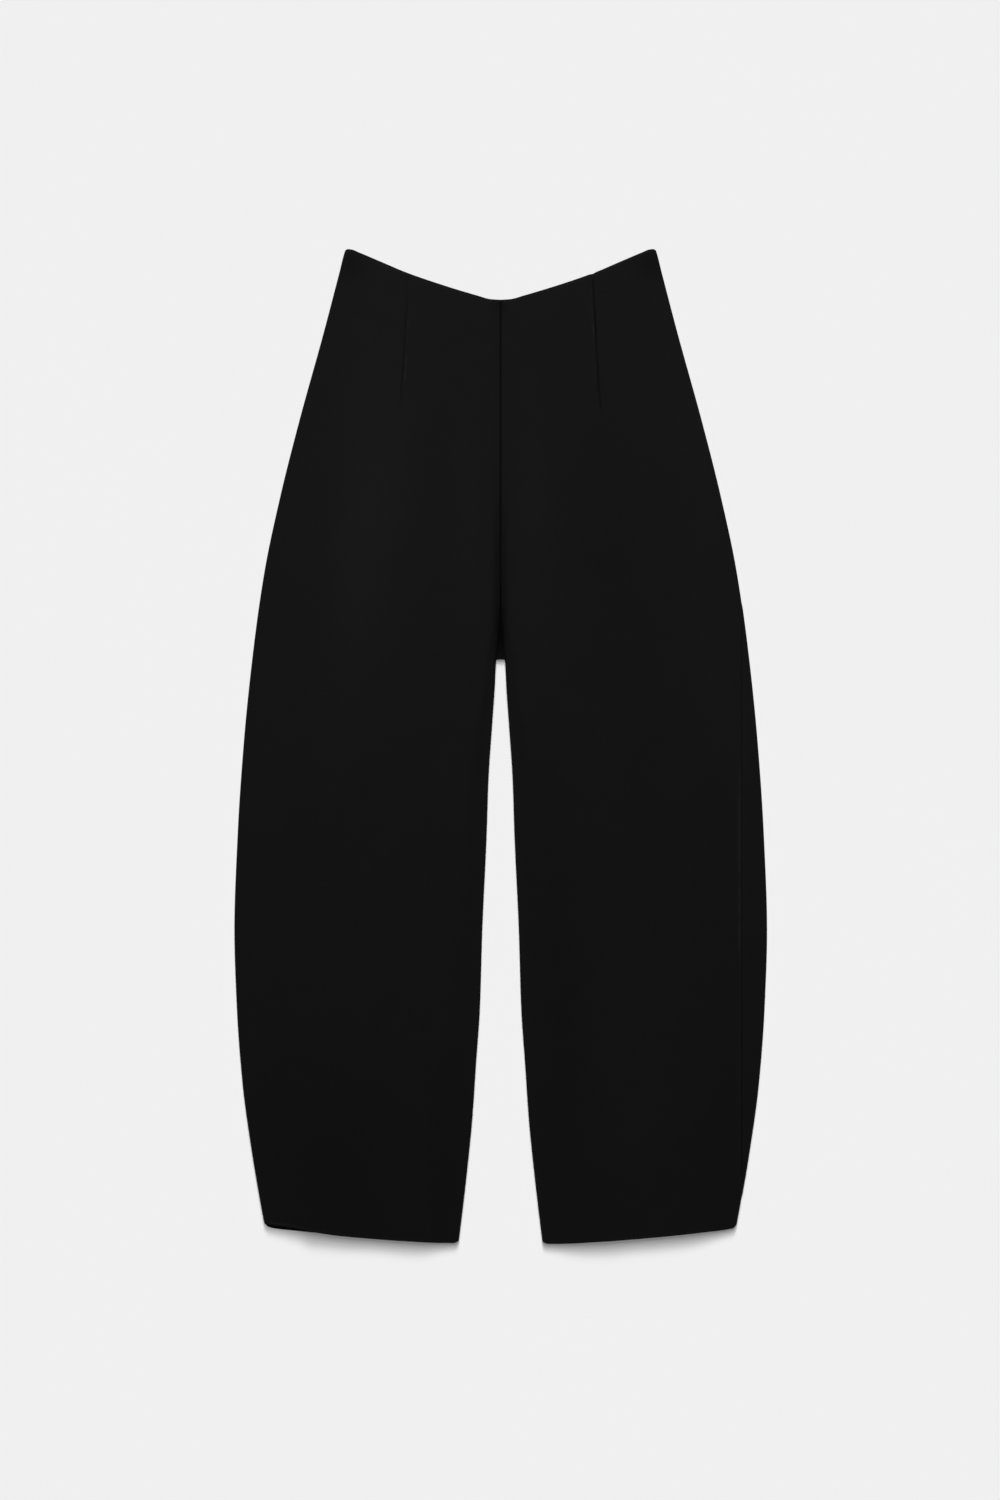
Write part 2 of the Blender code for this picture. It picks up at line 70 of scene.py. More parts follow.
# The cloth, its turned-in edges and its seams, in millimetres
LENGTH = 1052.0
CLOTH = 0.9
TURNED_CLOTH = 1.9
WAIST_TURN = 20.0
HEM_TURN = 35.0
TURN_STEP = 1.2
EDGE_ROLL = 0.46
EDGE_ROLL_RADIUS = TURNED_CLOTH * EDGE_ROLL
LEAST_CLOTH = 0.2
FOLD_RADIUS = 3.0
QUARTER_FOLD = FOLD_RADIUS * math.pi / 2
HALF_SEAM = 0.08
SEAM_DIP = 0.68
SEAM_DIP_WIDTH = 1.1
BACK_SEAM_SHARE = 0.8

# Where the body of the trousers ends and the legs begin
CROTCH_DROP = 434.0
FORK_DROP = 398.0
FORK_HALF_WIDTH = 4.6
CROTCH_LIFT = 3.0
CROTCH_LIFT_START = 330.0
CROTCH_LIFT_WIDTH = 22.0
CROTCH_ROUND = 5.0
FOOT_ROUND = 4.0
FOOT_FADE = 70.0
LEG_FORM_START = 345.0
CREASE_FADE_OUTER = 8.0
CREASE_FADE_INNER = 5.0

# The left side seam is a straight line, and the leg's edge swells out past it
LEFT_SEAM_X = 255.5

WAIST_CURVE_FADE = 420.0
HEM_CURVE_START = 700.0
HEM_CATCH_X = 234.0
HEM_CATCH_WIDTH = 38.0
HEM_CATCH_LENGTH = 70.0
HEM_CATCH_UP = 3.8
RIGHT_HEM_UP = 0.9
HEM_CATCH_RISE = 1.6

# The left dart pulls the waist edge down a little
DART_PULL = 0.7
DART_PULL_X = 97.5
DART_PULL_WIDTH = 2.2
DART_PULL_LENGTH = 18.0

# The darts sink along their lines and stand up a little beside them
DART_SINK = 0.60
DART_SINK_WIDTH = 1.0
DART_STAND = 0.30
DART_STAND_PLACE = 3.0
DART_STAND_WIDTH = 1.8

# The left side seam, rolled on to the front, is pressed into a low ridge along the leg
RIDGE_HEIGHT = 0.30
RIDGE_PLACE = 4.2
RIDGE_WIDTH = 2.6
RIDGE_START = 520.0
RIDGE_END = 1000.0
RIDGE_FADE = 120.0

# How the columns of a panel's points are spread: distances in from its seams and its dart
NEAR_SEAM = 7.0
WIDE_OF_SEAM = 40.0
NEAR_DART = 5.0
WIDE_OF_CENTRE = 30.0
FRONT_COUNTS = (14, 12, 16, 6, 6, 22, 12, 14)
FRONT_PACKING = ("in", "even", "even", "out", "in", "even", "even", "out")
NEAR_ZIP = 13.0
WIDE_OF_ZIP = 26.0
BACK_COUNTS = (8, 24, 8, 16)
BACK_PACKING = ("even", "even", "even", "out")
SIDE_COUNT = 12
ROLLED_COUNTS = (6, 9, 14)
ROLLED_PACKING = ("in", "even", "even")
BESIDE_SEAM = 3.0
PAST_FOLD = 0.6
BEFORE_RIDGE = 0.2
BACK_UNDER = 0.3
SETTLING_ROUNDS = 8

# How the rows are spread: packed at the waist edge, the turnings, the fork and the hem
EDGE_ROWS = 4.0
FORK_ROWS_START = 385.0
FORK_ROWS_END = 431.0
LEG_ROWS_START = 437.0
LEG_ROWS_END = 500.0
LEGS_APART = 0.05
UPPER_COUNTS = (13, 6, 6, 84, 22, 6)
LOWER_COUNTS = (8, 18, 112, 6, 9, 13)
ROW_PACKING = ("in", "even", "even", "even", "even", "out")

# The channel that the zip's tab lies in, and the notch that its slider's bridge comes through
CHANNEL_HEIGHT = 3.1
CHANNEL_HALF_WIDTH = 3.6
CHANNEL_SLOPE = 9.0
CHANNEL_END = 36.0
CHANNEL_FADE = 20.0
NOTCH_HALF_WIDTH = 1.3
NOTCH_LENGTH = 13.0
NOTCH_CLOSE = 5.5

RIGHT, LEFT = -1, 1
HANDS = (("right", RIGHT), ("left", LEFT))


def table(columns, *rows):
    """A short table, as one array for each named column."""
    return dict(zip(columns.split(), np.array(rows, float).T))


OUTER_EDGE = table(
    "drop  half_width",
    (0, 164.0),
    (2, 165.0),
    (25, 171.0),
    (90, 188.0),
    (180, 212.9),
    (260, 233.1),
    (340, 250.0),
    (420, 261.5),
    (520, 271.9),
    (620, 278.6),
    (720, 282.0),
    (800, 279.5),
    (880, 273.6),
    (950, 264.2),
    (1032, 250.0),
    (1052, 246.0),
)

INNER_EDGE = table(
    "drop  half_gap",
    (434, 3.6),
    (435.5, 4.3),
    (460, 5.5),
    (500, 8.3),
    (560, 12.3),
    (620, 14.3),
    (720, 18.9),
    (800, 21.3),
    (860, 25.4),
    (920, 29.5),
    (980, 35.6),
    (1028, 41.2),
    (1052, 44.2),
)

WAIST_EDGE = table(
    "x  drop",
    (0, 54.2),
    (10, 53.6),
    (25, 49.6),
    (60, 39.0),
    (100, 25.2),
    (130, 12.3),
    (150, 3.5),
    (158, 0.3),
    (162, 0.0),
    (165.5, 1.8),
)

HEM_EDGE = table(
    "x  rise",
    (44.0, 2.2),
    (50, 0.0),
    (105, 2.6),
    (160, 6.9),
    (215, 12.5),
    (245, 16.3),
    (250, 20.3),
)

# The face that shows: its height, its height along the middle line, and how far in from the inner
# edge it takes to reach its full height
FORM = table(
    "drop  height  middle_height  inner_slope",
    (0, 12.0, 11.7, 8),
    (53, 12.0, 11.7, 8),
    (150, 11.0, 10.5, 8),
    (255, 11.5, 10.4, 9),
    (330, 12.5, 8.0, 9),
    (398, 12.5, 7.0, 10),
    (434, 12.5, 7.0, 13),
    (520, 12.3, 7.0, 20),
    (690, 12.0, 7.0, 30),
    (900, 11.0, 7.0, 45),
    (1052, 10.5, 7.0, 50),
)
OUTER_SLOPE = 60.0

DART_LINE = table(
    "drop  x",
    (0, 95.5),
    (25, 97.0),
    (165, 105.5),
    (300, 124.0),
    (434, 133.0),
    (620, 147.0),
    (860, 150.0),
    (1052, 147.0),
)
DART_END = 165.0
DART_FADE = 30.0

# The largest soft folds of the front: their middle, their half length and half width, their
# height (below zero for a trough) and their turn from the leg's line, in degrees
FOLDS = table(
    "x  drop  half_length  half_width  height  turn",
    (-155, 320, 130, 26, 2.0, -8),
    (-78, 235, 110, 20, -1.2, 4),
    (-38, 260, 120, 17, 1.5, 2),
    (34, 262, 120, 16, 1.5, -2),
    (120, 300, 130, 40, -1.4, 8),
    (197, 175, 80, 16, 1.3, 14),
    (-205, 560, 150, 30, 1.2, -4),
    (-120, 640, 170, 36, -1.2, 2),
    (150, 610, 160, 34, 1.4, 4),
    (-196, 905, 110, 22, 1.2, 5),
    (-122, 925, 100, 18, -1.0, -3),
    (118, 900, 120, 24, 1.2, -3),
)
FOLD_FADE = 26.0

# Small creases and puckers, which only show close to
CREASES = table(
    "x  drop  half_length  half_width  height  turn",
    (-5, 295, 11, 3.2, -0.55, 84),
    (7, 293, 13, 3.0, -0.6, 96),
    (-200, 1030, 20, 3.5, 0.9, 6),
    (-214, 1036, 16, 3.0, -0.7, 10),
    (-150, 70, 34, 7, -0.35, 62),
    (148, 66, 30, 7, -0.35, -60),
    (-64, 130, 60, 6, 0.25, 8),
    (66, 96, 44, 6, 0.25, -10),
    (-232, 470, 46, 6, -0.35, 24),
    (-238, 505, 40, 6, 0.35, 30),
    (224, 430, 54, 7, -0.35, -22),
    (-36, 470, 50, 7, 0.35, -12),
    (30, 480, 52, 7, 0.35, 12),
)

# The slight unevenness of hand-smoothed cloth: headings and starts are angles
WAVES = table(
    "height  length  heading  start",
    (0.16, 97.0, 0.35, 0.4),
    (0.13, 61.0, 1.25, 2.1),
    (0.09, 43.0, -0.60, 4.4),
    (0.07, 29.0, 0.90, 1.2),
    (0.05, 19.0, -1.30, 5.3),
)
WAVE_STRETCH = 0.55

# Painted light and shade in the cloth's colour: broad lighter and darker patches that stand in for
# light on the folds, and painted shade between the fronts above the crotch, at the waist's corners
# and at the top of the middle seam
PAINTED_LIGHT_PATCHES = table(
    "x  drop  half_length  half_width  shade  turn",
    (-132, 250, 150, 42, 0.20, -6),
    (-150, 380, 120, 30, 0.14, -4),
    (-34, 300, 120, 18, 0.12, 0),
    (36, 300, 130, 20, 0.12, 0),
    (120, 330, 150, 46, -0.10, 4),
    (205, 190, 90, 26, 0.10, 14),
    (232, 440, 130, 24, 0.12, 6),
    (-170, 1000, 120, 60, -0.16, 8),
    (-60, 980, 90, 30, -0.10, 0),
    (60, 700, 190, 24, -0.10, 4),
    (150, 900, 150, 50, 0.08, 0),
    (-160, 16, 16, 16, -0.3, 0),
    (160, 16, 16, 16, -0.3, 0),
    (0, 408, 34, 5.5, -0.9, 0),
    (0, 330, 70, 7, -0.25, 0),
    (0, 60, 9, 8, -0.3, 0),
)
# Painted highlights along the folded edges, beside the darts and on the side seam's ridge, and painted
# shade down in the seams and under the caught hem
RIM_LIGHT = 0.4
RIM_FROM_EDGE = 2.4
RIM_WIDTH = 0.9
RIDGE_LIGHT = 0.8
DART_LIGHT = 1.8
CAUGHT_SHADE = 0.85
CAUGHT_LENGTH = 10.0
SEAM_SHADE = 0.75
SEAM_SHADE_WIDTH = 1.1
LEAST_SHADE = 0.08
HEM_RIM_SHARE = 0.5
CAUGHT_RIM_SHARE = 1.2

# Where each dart's shade starts below the waist edge, and its strength
DART_SHADE = {RIGHT: (20.0, 0.35), LEFT: (3.0, 0.8)}
DART_SHADE_FADE = 6.0
DART_LIGHT_PLACE = 2.3
DART_LIGHT_WIDTH = 1.2

# Light on the left side seam's ridge, and shade in the seam below it
RIDGE_LIGHT_START = 530.0
RIDGE_LIGHT_END = 770.0
RIDGE_LIGHT_FADE = 50.0
LOWER_SEAM_START = 740.0
LOWER_SEAM_END = 1000.0
LOWER_SEAM_FADE = 60.0
LOWER_SEAM_SHADE = 0.35
LOWER_SEAM_LIGHT = 0.12
RIDGE_LIGHT_PLACE = 3.2
RIDGE_LIGHT_WIDTH = 1.8
LOWER_SEAM_PLACE = -0.2
LOWER_SEAM_WIDTH = 1.2
LOWER_LIGHT_PLACE = 3.6
LOWER_LIGHT_WIDTH = 1.6

# The sewing, in metres apart from the columns that it leaves free
END_COLUMNS = 3
ZIP_COLUMNS = 12
WAIST_STITCH_STATION = 3.0
HEM_STITCH_STATION = LENGTH - HEM_TURN + 1.5
STITCH_SHARE = 0.78
HEM_STITCH = {"Pitch": 0.006, "Length": 0.004}
THREAD = 0.00032

# The zip's coil, in metres
COIL_PITCH = 0.0014
COIL_RADIUS = 0.0009
COIL_WIRE = 0.00028
COIL_STRETCH = 1.25
COIL_LEAN = math.radians(12)
COIL_FROM_MIDDLE = 1.15
COIL_OVER_TAPE = 0.0012
COIL_START = 0.002
COIL_END = 0.016
COIL_POINTS = 60

# The solids' own cloth, which the tapes lie on, and where the tape's upper face is over it
SOLID_CLOTH = 1.2
SOLID_TURNED_CLOTH = 2.3
TAPE_TOP = 0.8
BESIDE_MIDDLE = 1.2

# The lights: a fan of suns on the floor, and a soft sun and a lamp on the cloth
FAN = table("elevation  share", (67, 0.2), (52, 0.2), (41, 0.2), (34, 0.2), (28, 0.2))
FAN_AZIMUTH = math.radians(90)
FAN_SOFTNESS = math.radians(12)
HIGH_SUN_SOFTNESS = math.radians(8)
CLOTH_LIGHT_ELEVATION = math.radians(62)
CLOTH_LIGHT_AZIMUTH = math.radians(92)
CLOTH_LIGHT_SOFTNESS = math.radians(90)
WAIST_LAMP_PLACE = Vector((-0.12, 0.75, 1.1))
WAIST_LAMP_AIM = Vector((0.0, 0.15, 0.0))
WAIST_LAMP_SIZE = 0.7

# The stage's floor and camera, in metres, and the camera's sensor in millimetres
FLOOR_HALF_SIZE = 40.0
CAMERA_X = -0.0006
CAMERA_Y = -0.0037
SENSOR_WIDTH = 36.0


def smooth(value):
    """A smooth step from 0 to 1."""
    t = np.clip(value, 0.0, 1.0)
    return t * t * (3 - 2 * t)


def mound(distance, width):
    """1 at no distance, and falling smoothly to 0 over a width."""
    return np.exp(-((distance / width) ** 2))


def through(rows, key, value, at):
    """A smooth curve through a table's rows, with no overshoot between them."""
    x, y = rows[key], rows[value]
    at = np.clip(at, x[0], x[-1])
    step = np.diff(x)
    rise = np.diff(y) / step
    both = rise[:-1] * rise[1:]
    total = np.where(both > 0, rise[:-1] + rise[1:], 1.0)
    slope = np.concatenate(([rise[0]], np.where(both > 0, 2 * both / total, 0.0), [rise[-1]]))
    i = np.clip(np.searchsorted(x, at, side="right") - 1, 0, len(step) - 1)
    t = (at - x[i]) / step[i]
    rest = 1 - t
    ends = y[i] * rest * rest * (1 + 2 * t) + y[i + 1] * t * t * (3 - 2 * t)
    return ends + step[i] * t * rest * (slope[i] * rest - slope[i + 1] * t)


def outer_edge(drop):
    """Half the width of the trousers."""
    return through(OUTER_EDGE, "drop", "half_width", drop)


def inner_edge(drop):
    """The inner edge of a leg, or the seam in the middle above the crotch."""
    leg = through(INNER_EDGE, "drop", "half_gap", drop)
    return np.where(drop < CROTCH_DROP, 0.0, leg)


def girth(drop):
    """Half the way round a section: from its outermost line to its inner edge."""
    width = outer_edge(drop) - inner_edge(drop)
    folds = np.where(drop < CROTCH_DROP, 1, 2)
    return width + folds * (QUARTER_FOLD - FOLD_RADIUS)


def round_fold(arc):
    """How far in, and how far up from its middle, a point lies that is an arc round a fold."""
    angle = np.clip(arc / FOLD_RADIUS, 0.0, math.pi / 2)
    inward = FOLD_RADIUS * (1 - np.cos(angle)) + np.maximum(arc - QUARTER_FOLD, 0.0)
    return inward, FOLD_RADIUS * np.sin(angle)


def arc_of(inward):
    """The arc round a folded edge that reaches this far in."""
    cosine = 1 - np.clip(inward, 0.0, FOLD_RADIUS) / FOLD_RADIUS
    return FOLD_RADIUS * np.arccos(cosine) + np.maximum(inward - FOLD_RADIUS, 0.0)


def fork(drop):
    """Half the width between the two fronts, which part just above the crotch."""
    return FORK_HALF_WIDTH * np.clip((drop - FORK_DROP) / (CROTCH_DROP - FORK_DROP), 0.0, 1.0)


def patches(rows, side, x, drop, amount):
    """The sum of a table's soft oval patches."""
    total = np.zeros_like(x)
    names = ("x", "drop", "half_length", "half_width", amount, "turn")
    for px, pdrop, half_length, half_width, rise, turn in zip(*(rows[name] for name in names)):
        if px * side < 0:
            continue
        cosine, sine = math.cos(math.radians(turn)), math.sin(math.radians(turn))
        across = side * x - px
        down = drop - pdrop
        lengthways = (cosine * down + sine * across) / half_length
        sideways = (cosine * across - sine * down) / half_width
        total = total + rise * np.exp(-(lengthways**2) - sideways**2)
    return total


def undulation(side, x, drop):
    """The slight unevenness of cloth that has been smoothed by hand."""
    total = np.zeros_like(x)
    for height, length, heading, start in zip(*(WAVES[name] for name in WAVES)):
        run = side * x * math.cos(heading) + drop * math.sin(heading) * WAVE_STRETCH
        total = total + height * np.sin(2 * math.pi * run / length + start)
    return total


def underside_lift(x, drop):
    """How far the back is off the surface: over the zip's tab, and just above the crotch."""
    from_edge = drop - WAIST_EDGE["drop"][0]
    channel = CHANNEL_HEIGHT * smooth(1 - (from_edge - CHANNEL_END) / CHANNEL_FADE)
    channel = channel * smooth(1 - (x - CHANNEL_HALF_WIDTH) / CHANNEL_SLOPE)
    rising = smooth((drop - CROTCH_LIFT_START) / (FORK_DROP - CROTCH_LIFT_START))
    crotch = CROTCH_LIFT * rising * smooth(1 - x / CROTCH_LIFT_WIDTH)
    return channel + np.where(drop < CROTCH_DROP, crotch, 0.0)


def quarter_round(share):
    """The height of a quarter circle, from 0 at its foot to 1 at its top."""
    return np.sqrt(np.clip(1 - (1 - np.clip(share, 0.0, 1.0)) ** 2, 0.0, 1.0))


def foot_height(from_start, drop):
    """How high the front starts at its inner edge, over a fold's middle, and its share just there.

    It fades out down the leg. Along the legs, and round the end of the crotch, the edge rolls down.
    """
    foot = through(FORM, "drop", "middle_height", drop) - FOLD_RADIUS
    foot = foot * smooth(1 - (drop - CROTCH_DROP) / FOOT_FADE)
    edge = quarter_round(from_start / FOOT_ROUND)
    end = quarter_round((CROTCH_DROP - drop) / CROTCH_ROUND)
    return foot, edge + (1 - edge) * end


def section(side, along, drop):
    """x, counted from the middle line, and z of the outer face of the cloth."""
    is_leg = drop >= CROTCH_DROP
    outer, inner, half_round = outer_edge(drop), inner_edge(drop), girth(drop)
    arc = np.abs(along)
    from_outer, outer_up = round_fold(arc)
    rest = np.maximum(half_round - arc, 0.0)
    leg_in, leg_up = round_fold(rest)
    from_inner = np.where(is_leg, leg_in, rest)
    inner_up = np.where(is_leg, leg_up, FOLD_RADIUS)
    x = np.where(arc < half_round / 2, outer - from_outer, inner + from_inner)

    height = through(FORM, "drop", "height", drop)
    slope = through(FORM, "drop", "inner_slope", drop)
    above = height - FOLD_RADIUS
    crown = height - 2 * FOLD_RADIUS
    outer_rise = outer_up + crown * smooth(from_outer / OUTER_SLOPE)
    from_start = np.maximum(x - np.where(is_leg, inner, fork(drop)), 0.0)
    gentle = smooth(from_start / slope)
    rounded = (FOLD_RADIUS * quarter_round(from_start / FOLD_RADIUS) + crown * gentle) / above
    near_leg = smooth((drop - LEG_FORM_START) / (CROTCH_DROP - LEG_FORM_START))
    foot, foot_share = foot_height(from_start, drop)
    inner_rise = foot * foot_share + (above - foot) * (gentle + (rounded - gentle) * near_leg)
    fade = smooth(from_outer / FOLD_FADE) * smooth(from_inner / FOLD_FADE)
    small_fade = smooth(from_outer / CREASE_FADE_OUTER) * smooth(from_inner / CREASE_FADE_INNER)
    relief = (patches(FOLDS, side, x, drop, "height") + undulation(side, x, drop)) * fade
    relief = relief + patches(CREASES, side, x, drop, "height") * small_fade
    front_z = FOLD_RADIUS + outer_rise * inner_rise / above + relief

    back_z = FOLD_RADIUS - np.minimum(outer_up, inner_up) + underside_lift(x, drop)
    return x, np.where(along >= 0, front_z, back_z)


def hem_catch(station, side, x):
    """1 where the right front hem is caught up, fading to 0 round it."""
    if side == LEFT:
        return np.zeros_like(x)
    return mound(x - HEM_CATCH_X, HEM_CATCH_WIDTH) * smooth(1 - (LENGTH - station) / HEM_CATCH_LENGTH)


def drop_at(station, side, x, is_front):
    """The drop of a point on a station's row, which follows the waist edge and the hem."""
    dip = through(WAIST_EDGE, "x", "drop", x) * smooth(1 - station / WAIST_CURVE_FADE)
    rise = through(HEM_EDGE, "x", "rise", x) + (RIGHT_HEM_UP if side == RIGHT else 0.0)
    rise = rise * smooth((station - HEM_CURVE_START) / (LENGTH - HEM_CURVE_START))
    caught = hem_catch(station, side, x) if is_front else 0.0
    if side == LEFT:
        pulled = mound(x - DART_PULL_X, DART_PULL_WIDTH) * smooth(1 - station / DART_PULL_LENGTH)
        dip = dip + DART_PULL * pulled
    return station + dip - rise - HEM_CATCH_UP * caught


def side_seam(side, drop):
    """Where the side seam lies along the section: at the edge, or rolled on to the front."""
    if side == RIGHT:
        return np.zeros_like(drop)
    return arc_of(np.maximum(outer_edge(drop) - LEFT_SEAM_X, 0.0))


def notch_inset(drop):
    """The back's edges part at the top of the zip, where the slider's bridge comes through."""
    from_edge = drop - WAIST_EDGE["drop"][0]
    return NOTCH_HALF_WIDTH * smooth(1 - (from_edge - NOTCH_LENGTH) / NOTCH_CLOSE)


def spread(stops, counts, easing):
    """Points between stops: an even, "in" or "out" easing packs them to one end of each stretch."""
    points = [stops[0]]
    for low, high, count, ease in zip(stops[:-1], stops[1:], counts, easing):
        for n in range(1, count + 1):
            t = n / count
            if ease == "in":
                t = t**1.7
            elif ease == "out":
                t = 1 - (1 - t) ** 1.7
            elif ease == "both":
                t = smooth(t)
            points.append(low + (high - low) * t)
    return points


def front_spread(side, drop):
    """The front's columns, from its side seam over the dart to the middle or the inside leg."""
    start = side_seam(side, drop) + HALF_SEAM
    inset = np.where(drop < CROTCH_DROP, fork(drop), HALF_SEAM)
    end = girth(drop) - inset
    dart = outer_edge(drop) - through(DART_LINE, "drop", "x", drop) - FOLD_RADIUS + QUARTER_FOLD
    by_seam = (start, start + NEAR_SEAM, start + WIDE_OF_SEAM)
    by_dart = (dart - NEAR_DART, dart, dart + NEAR_DART)
    by_middle = (end - WIDE_OF_CENTRE, end - NEAR_SEAM, end)
    return spread(by_seam + by_dart + by_middle, FRONT_COUNTS, FRONT_PACKING)


def back_spread(side, drop):
    """The back's columns, from its side seam round the fold to the zip or the inside leg."""
    seam = side_seam(side, drop) - HALF_SEAM
    end = -girth(drop) + np.where(drop < CROTCH_DROP, notch_inset(drop), HALF_SEAM)
    under = -QUARTER_FOLD
    stops = (under - WIDE_OF_SEAM, end + WIDE_OF_ZIP, end + NEAR_ZIP, end)
    if side == RIGHT:
        stops = (seam, np.full_like(drop, under), *stops)
        return spread(stops, (SIDE_COUNT, *BACK_COUNTS), ("even", *BACK_PACKING))
    ridge = np.maximum(seam - BESIDE_SEAM, seam * 0.75 + under * 0.25)
    fold = np.minimum(QUARTER_FOLD, (seam + under) / 2 + PAST_FOLD)
    fold = np.minimum(fold, ridge - BEFORE_RIDGE)
    stops = (seam, ridge, fold, np.full_like(drop, under - BACK_UNDER), *stops)
    return spread(stops, ROLLED_COUNTS + BACK_COUNTS, ROLLED_PACKING + BACK_PACKING)


def row_stations():
    """Rows of points, packed where an edge rolls, a turning steps or the legs part."""
    turned = (WAIST_TURN - 1, WAIST_TURN + TURN_STEP + 1)
    fork_rows = (FORK_ROWS_START, FORK_ROWS_END, CROTCH_DROP - LEGS_APART)
    upper = spread((0, EDGE_ROWS, *turned, *fork_rows), UPPER_COUNTS, ROW_PACKING)
    hem = LENGTH - HEM_TURN
    turned = (hem - TURN_STEP - 1, hem + 1)
    leg_rows = (CROTCH_DROP + LEGS_APART, LEG_ROWS_START, LEG_ROWS_END)
    lower = spread((*leg_rows, *turned, LENGTH - EDGE_ROWS, LENGTH), LOWER_COUNTS, ROW_PACKING)
    return np.array(upper + lower)


def cloth_thickness(station):
    """One layer of cloth, or two where the waist and the hem are turned in."""
    waist = smooth(1 - (station - WAIST_TURN) / TURN_STEP)
    hem = smooth(1 - (LENGTH - HEM_TURN - station) / TURN_STEP)
    return CLOTH + (TURNED_CLOTH - CLOTH) * np.maximum(waist, hem)


def edge_roll(station):
    """How deep the outer face turns in at the folded waist edge and hem."""
    from_edge = np.minimum(station, LENGTH - station)
    return EDGE_ROLL_RADIUS * (1 - quarter_round(from_edge / EDGE_ROLL_RADIUS))


def settle(station, side, spread_at, is_front):
    """Along and drop of points on these stations, once their rows follow the waist edge and hem."""
    drop = station.copy()
    for _ in range(SETTLING_ROUNDS):
        x, _z = section(side, columns_of(side, drop, spread_at), drop)
        drop = drop_at(station, side, x, is_front)
    return columns_of(side, drop, spread_at), drop


def lay_out(side, spread_at, is_front):
    """Station, along and drop of each point of a panel's grid."""
    rows = row_stations()
    station = np.repeat(rows[:, None], len(spread_at(side, rows)), axis=1)
    along, drop = settle(station, side, spread_at, is_front)
    return station, along, drop


def columns_of(side, drop, spread_at):
    """Each column's own distance along, at each of its points' drop."""
    lanes = spread_at(side, drop)
    return np.stack([lane[:, n] for n, lane in enumerate(lanes)], axis=1)


def outward(side, along, drop):
    """The direction out of the cloth at each point, within its section."""
    step = 0.05
    x1, z1 = section(side, along - step, drop)
    x2, z2 = section(side, along + step, drop)
    length = np.maximum(np.hypot(x2 - x1, z2 - z1), 1e-6)
    return (z2 - z1) / length, (x1 - x2) / length


def seam_dip(distance):
    """The cloth rolls down into a seam."""
    return SEAM_DIP * mound(distance, SEAM_DIP_WIDTH)


def surface_depth(side, along, drop, x, is_front):
    """How far seams, darts and pressed ridges sink or raise the outer face."""
    if not is_front:
        seam = side_seam(side, drop) - HALF_SEAM - along
        inner = along + girth(drop) - HALF_SEAM
        return seam_dip(seam) + seam_dip(inner) * BACK_SEAM_SHARE
    seam = along - side_seam(side, drop) - HALF_SEAM
    inset = np.where(drop < CROTCH_DROP, fork(drop), HALF_SEAM)
    inner = girth(drop) - inset - along
    off, fade = dart_place(x, drop)
    dart = DART_SINK * mound(off, DART_SINK_WIDTH)
    dart = dart - DART_STAND * mound(off - DART_STAND_PLACE, DART_STAND_WIDTH)
    ridge = 0.0
    if side == LEFT:
        rolled = smooth((drop - RIDGE_START) / RIDGE_FADE) * smooth((RIDGE_END - drop) / RIDGE_FADE)
        ridge = RIDGE_HEIGHT * rolled * mound(seam - RIDGE_PLACE, RIDGE_WIDTH)
    return seam_dip(seam) + seam_dip(inner) + dart * fade - ridge


def panel_points(side, station, along, drop, is_front):
    """World points of a panel's outer and inner faces."""
    x, z = section(side, along, drop)
    nx, nz = outward(side, along, drop)
    if is_front:
        z = z + HEM_CATCH_RISE * hem_catch(station, side, x)
    thickness = cloth_thickness(station)
    roll = edge_roll(station)
    dip = surface_depth(side, along, drop, x, is_front)
    dip = np.minimum(dip, thickness - LEAST_CLOTH)
    faces = []
    for depth in (np.maximum(dip, roll), thickness - roll):
        place = (side * (x - nx * depth), LENGTH / 2 - drop, z - nz * depth)
        faces.append(np.stack(place, axis=-1) * MM)
    return faces


def dart_place(x, drop):
    """How far a point lies from the dart's line, and 1 along the dart, fading to 0 below its tip."""
    fade = smooth((DART_END + DART_FADE / 2 - drop) / DART_FADE)
    return x - through(DART_LINE, "drop", "x", drop), fade


def unevenness(place, drop):
    """A slow wandering value from 0 to 1 along a seam, which no two seams share."""
    wave = np.sin(drop / 7.3 + 3 * place)
    wave = wave + np.sin(drop / 3.1 + 1.7 * place)
    wave = wave + np.sin(drop / 17.0 + place)
    return np.clip(0.5 + wave / 6, 0.0, 1.0)


def dart_shade(side, station, drop, x):
    """How much of its light the cloth keeps along a dart, and the light it gains beside it."""
    off, fade = dart_place(x, drop)
    start, strength = DART_SHADE[side]
    fade = fade * smooth((station - start) / DART_SHADE_FADE)
    wander = unevenness(2.0 + side, drop)
    kept = 1 - fade * strength * (0.4 + 0.6 * wander) * mound(off, SEAM_SHADE_WIDTH)
    beside = mound(off + DART_LIGHT_PLACE, DART_LIGHT_WIDTH)
    return kept, DART_LIGHT * fade * np.maximum(wander - 0.5, 0.0) * beside


def side_seam_light(seam, drop):
    """The pressed ridge catches light down to the knee, and the seam darkens below it."""
    upper = smooth((drop - RIDGE_LIGHT_START) / RIDGE_LIGHT_FADE)
    upper = upper * smooth((RIDGE_LIGHT_END - drop) / RIDGE_LIGHT_FADE)
    upper = upper * (0.3 + 0.7 * unevenness(9.0, drop))
    lower = smooth((drop - LOWER_SEAM_START) / RIDGE_LIGHT_FADE)
    lower = lower * smooth((LOWER_SEAM_END - drop) / LOWER_SEAM_FADE)
    light = RIDGE_LIGHT * upper * mound(seam - RIDGE_LIGHT_PLACE, RIDGE_LIGHT_WIDTH)
    light = light - LOWER_SEAM_SHADE * lower * mound(seam - LOWER_SEAM_PLACE, LOWER_SEAM_WIDTH)
    return light + LOWER_SEAM_LIGHT * lower * mound(seam - LOWER_LIGHT_PLACE, LOWER_LIGHT_WIDTH)


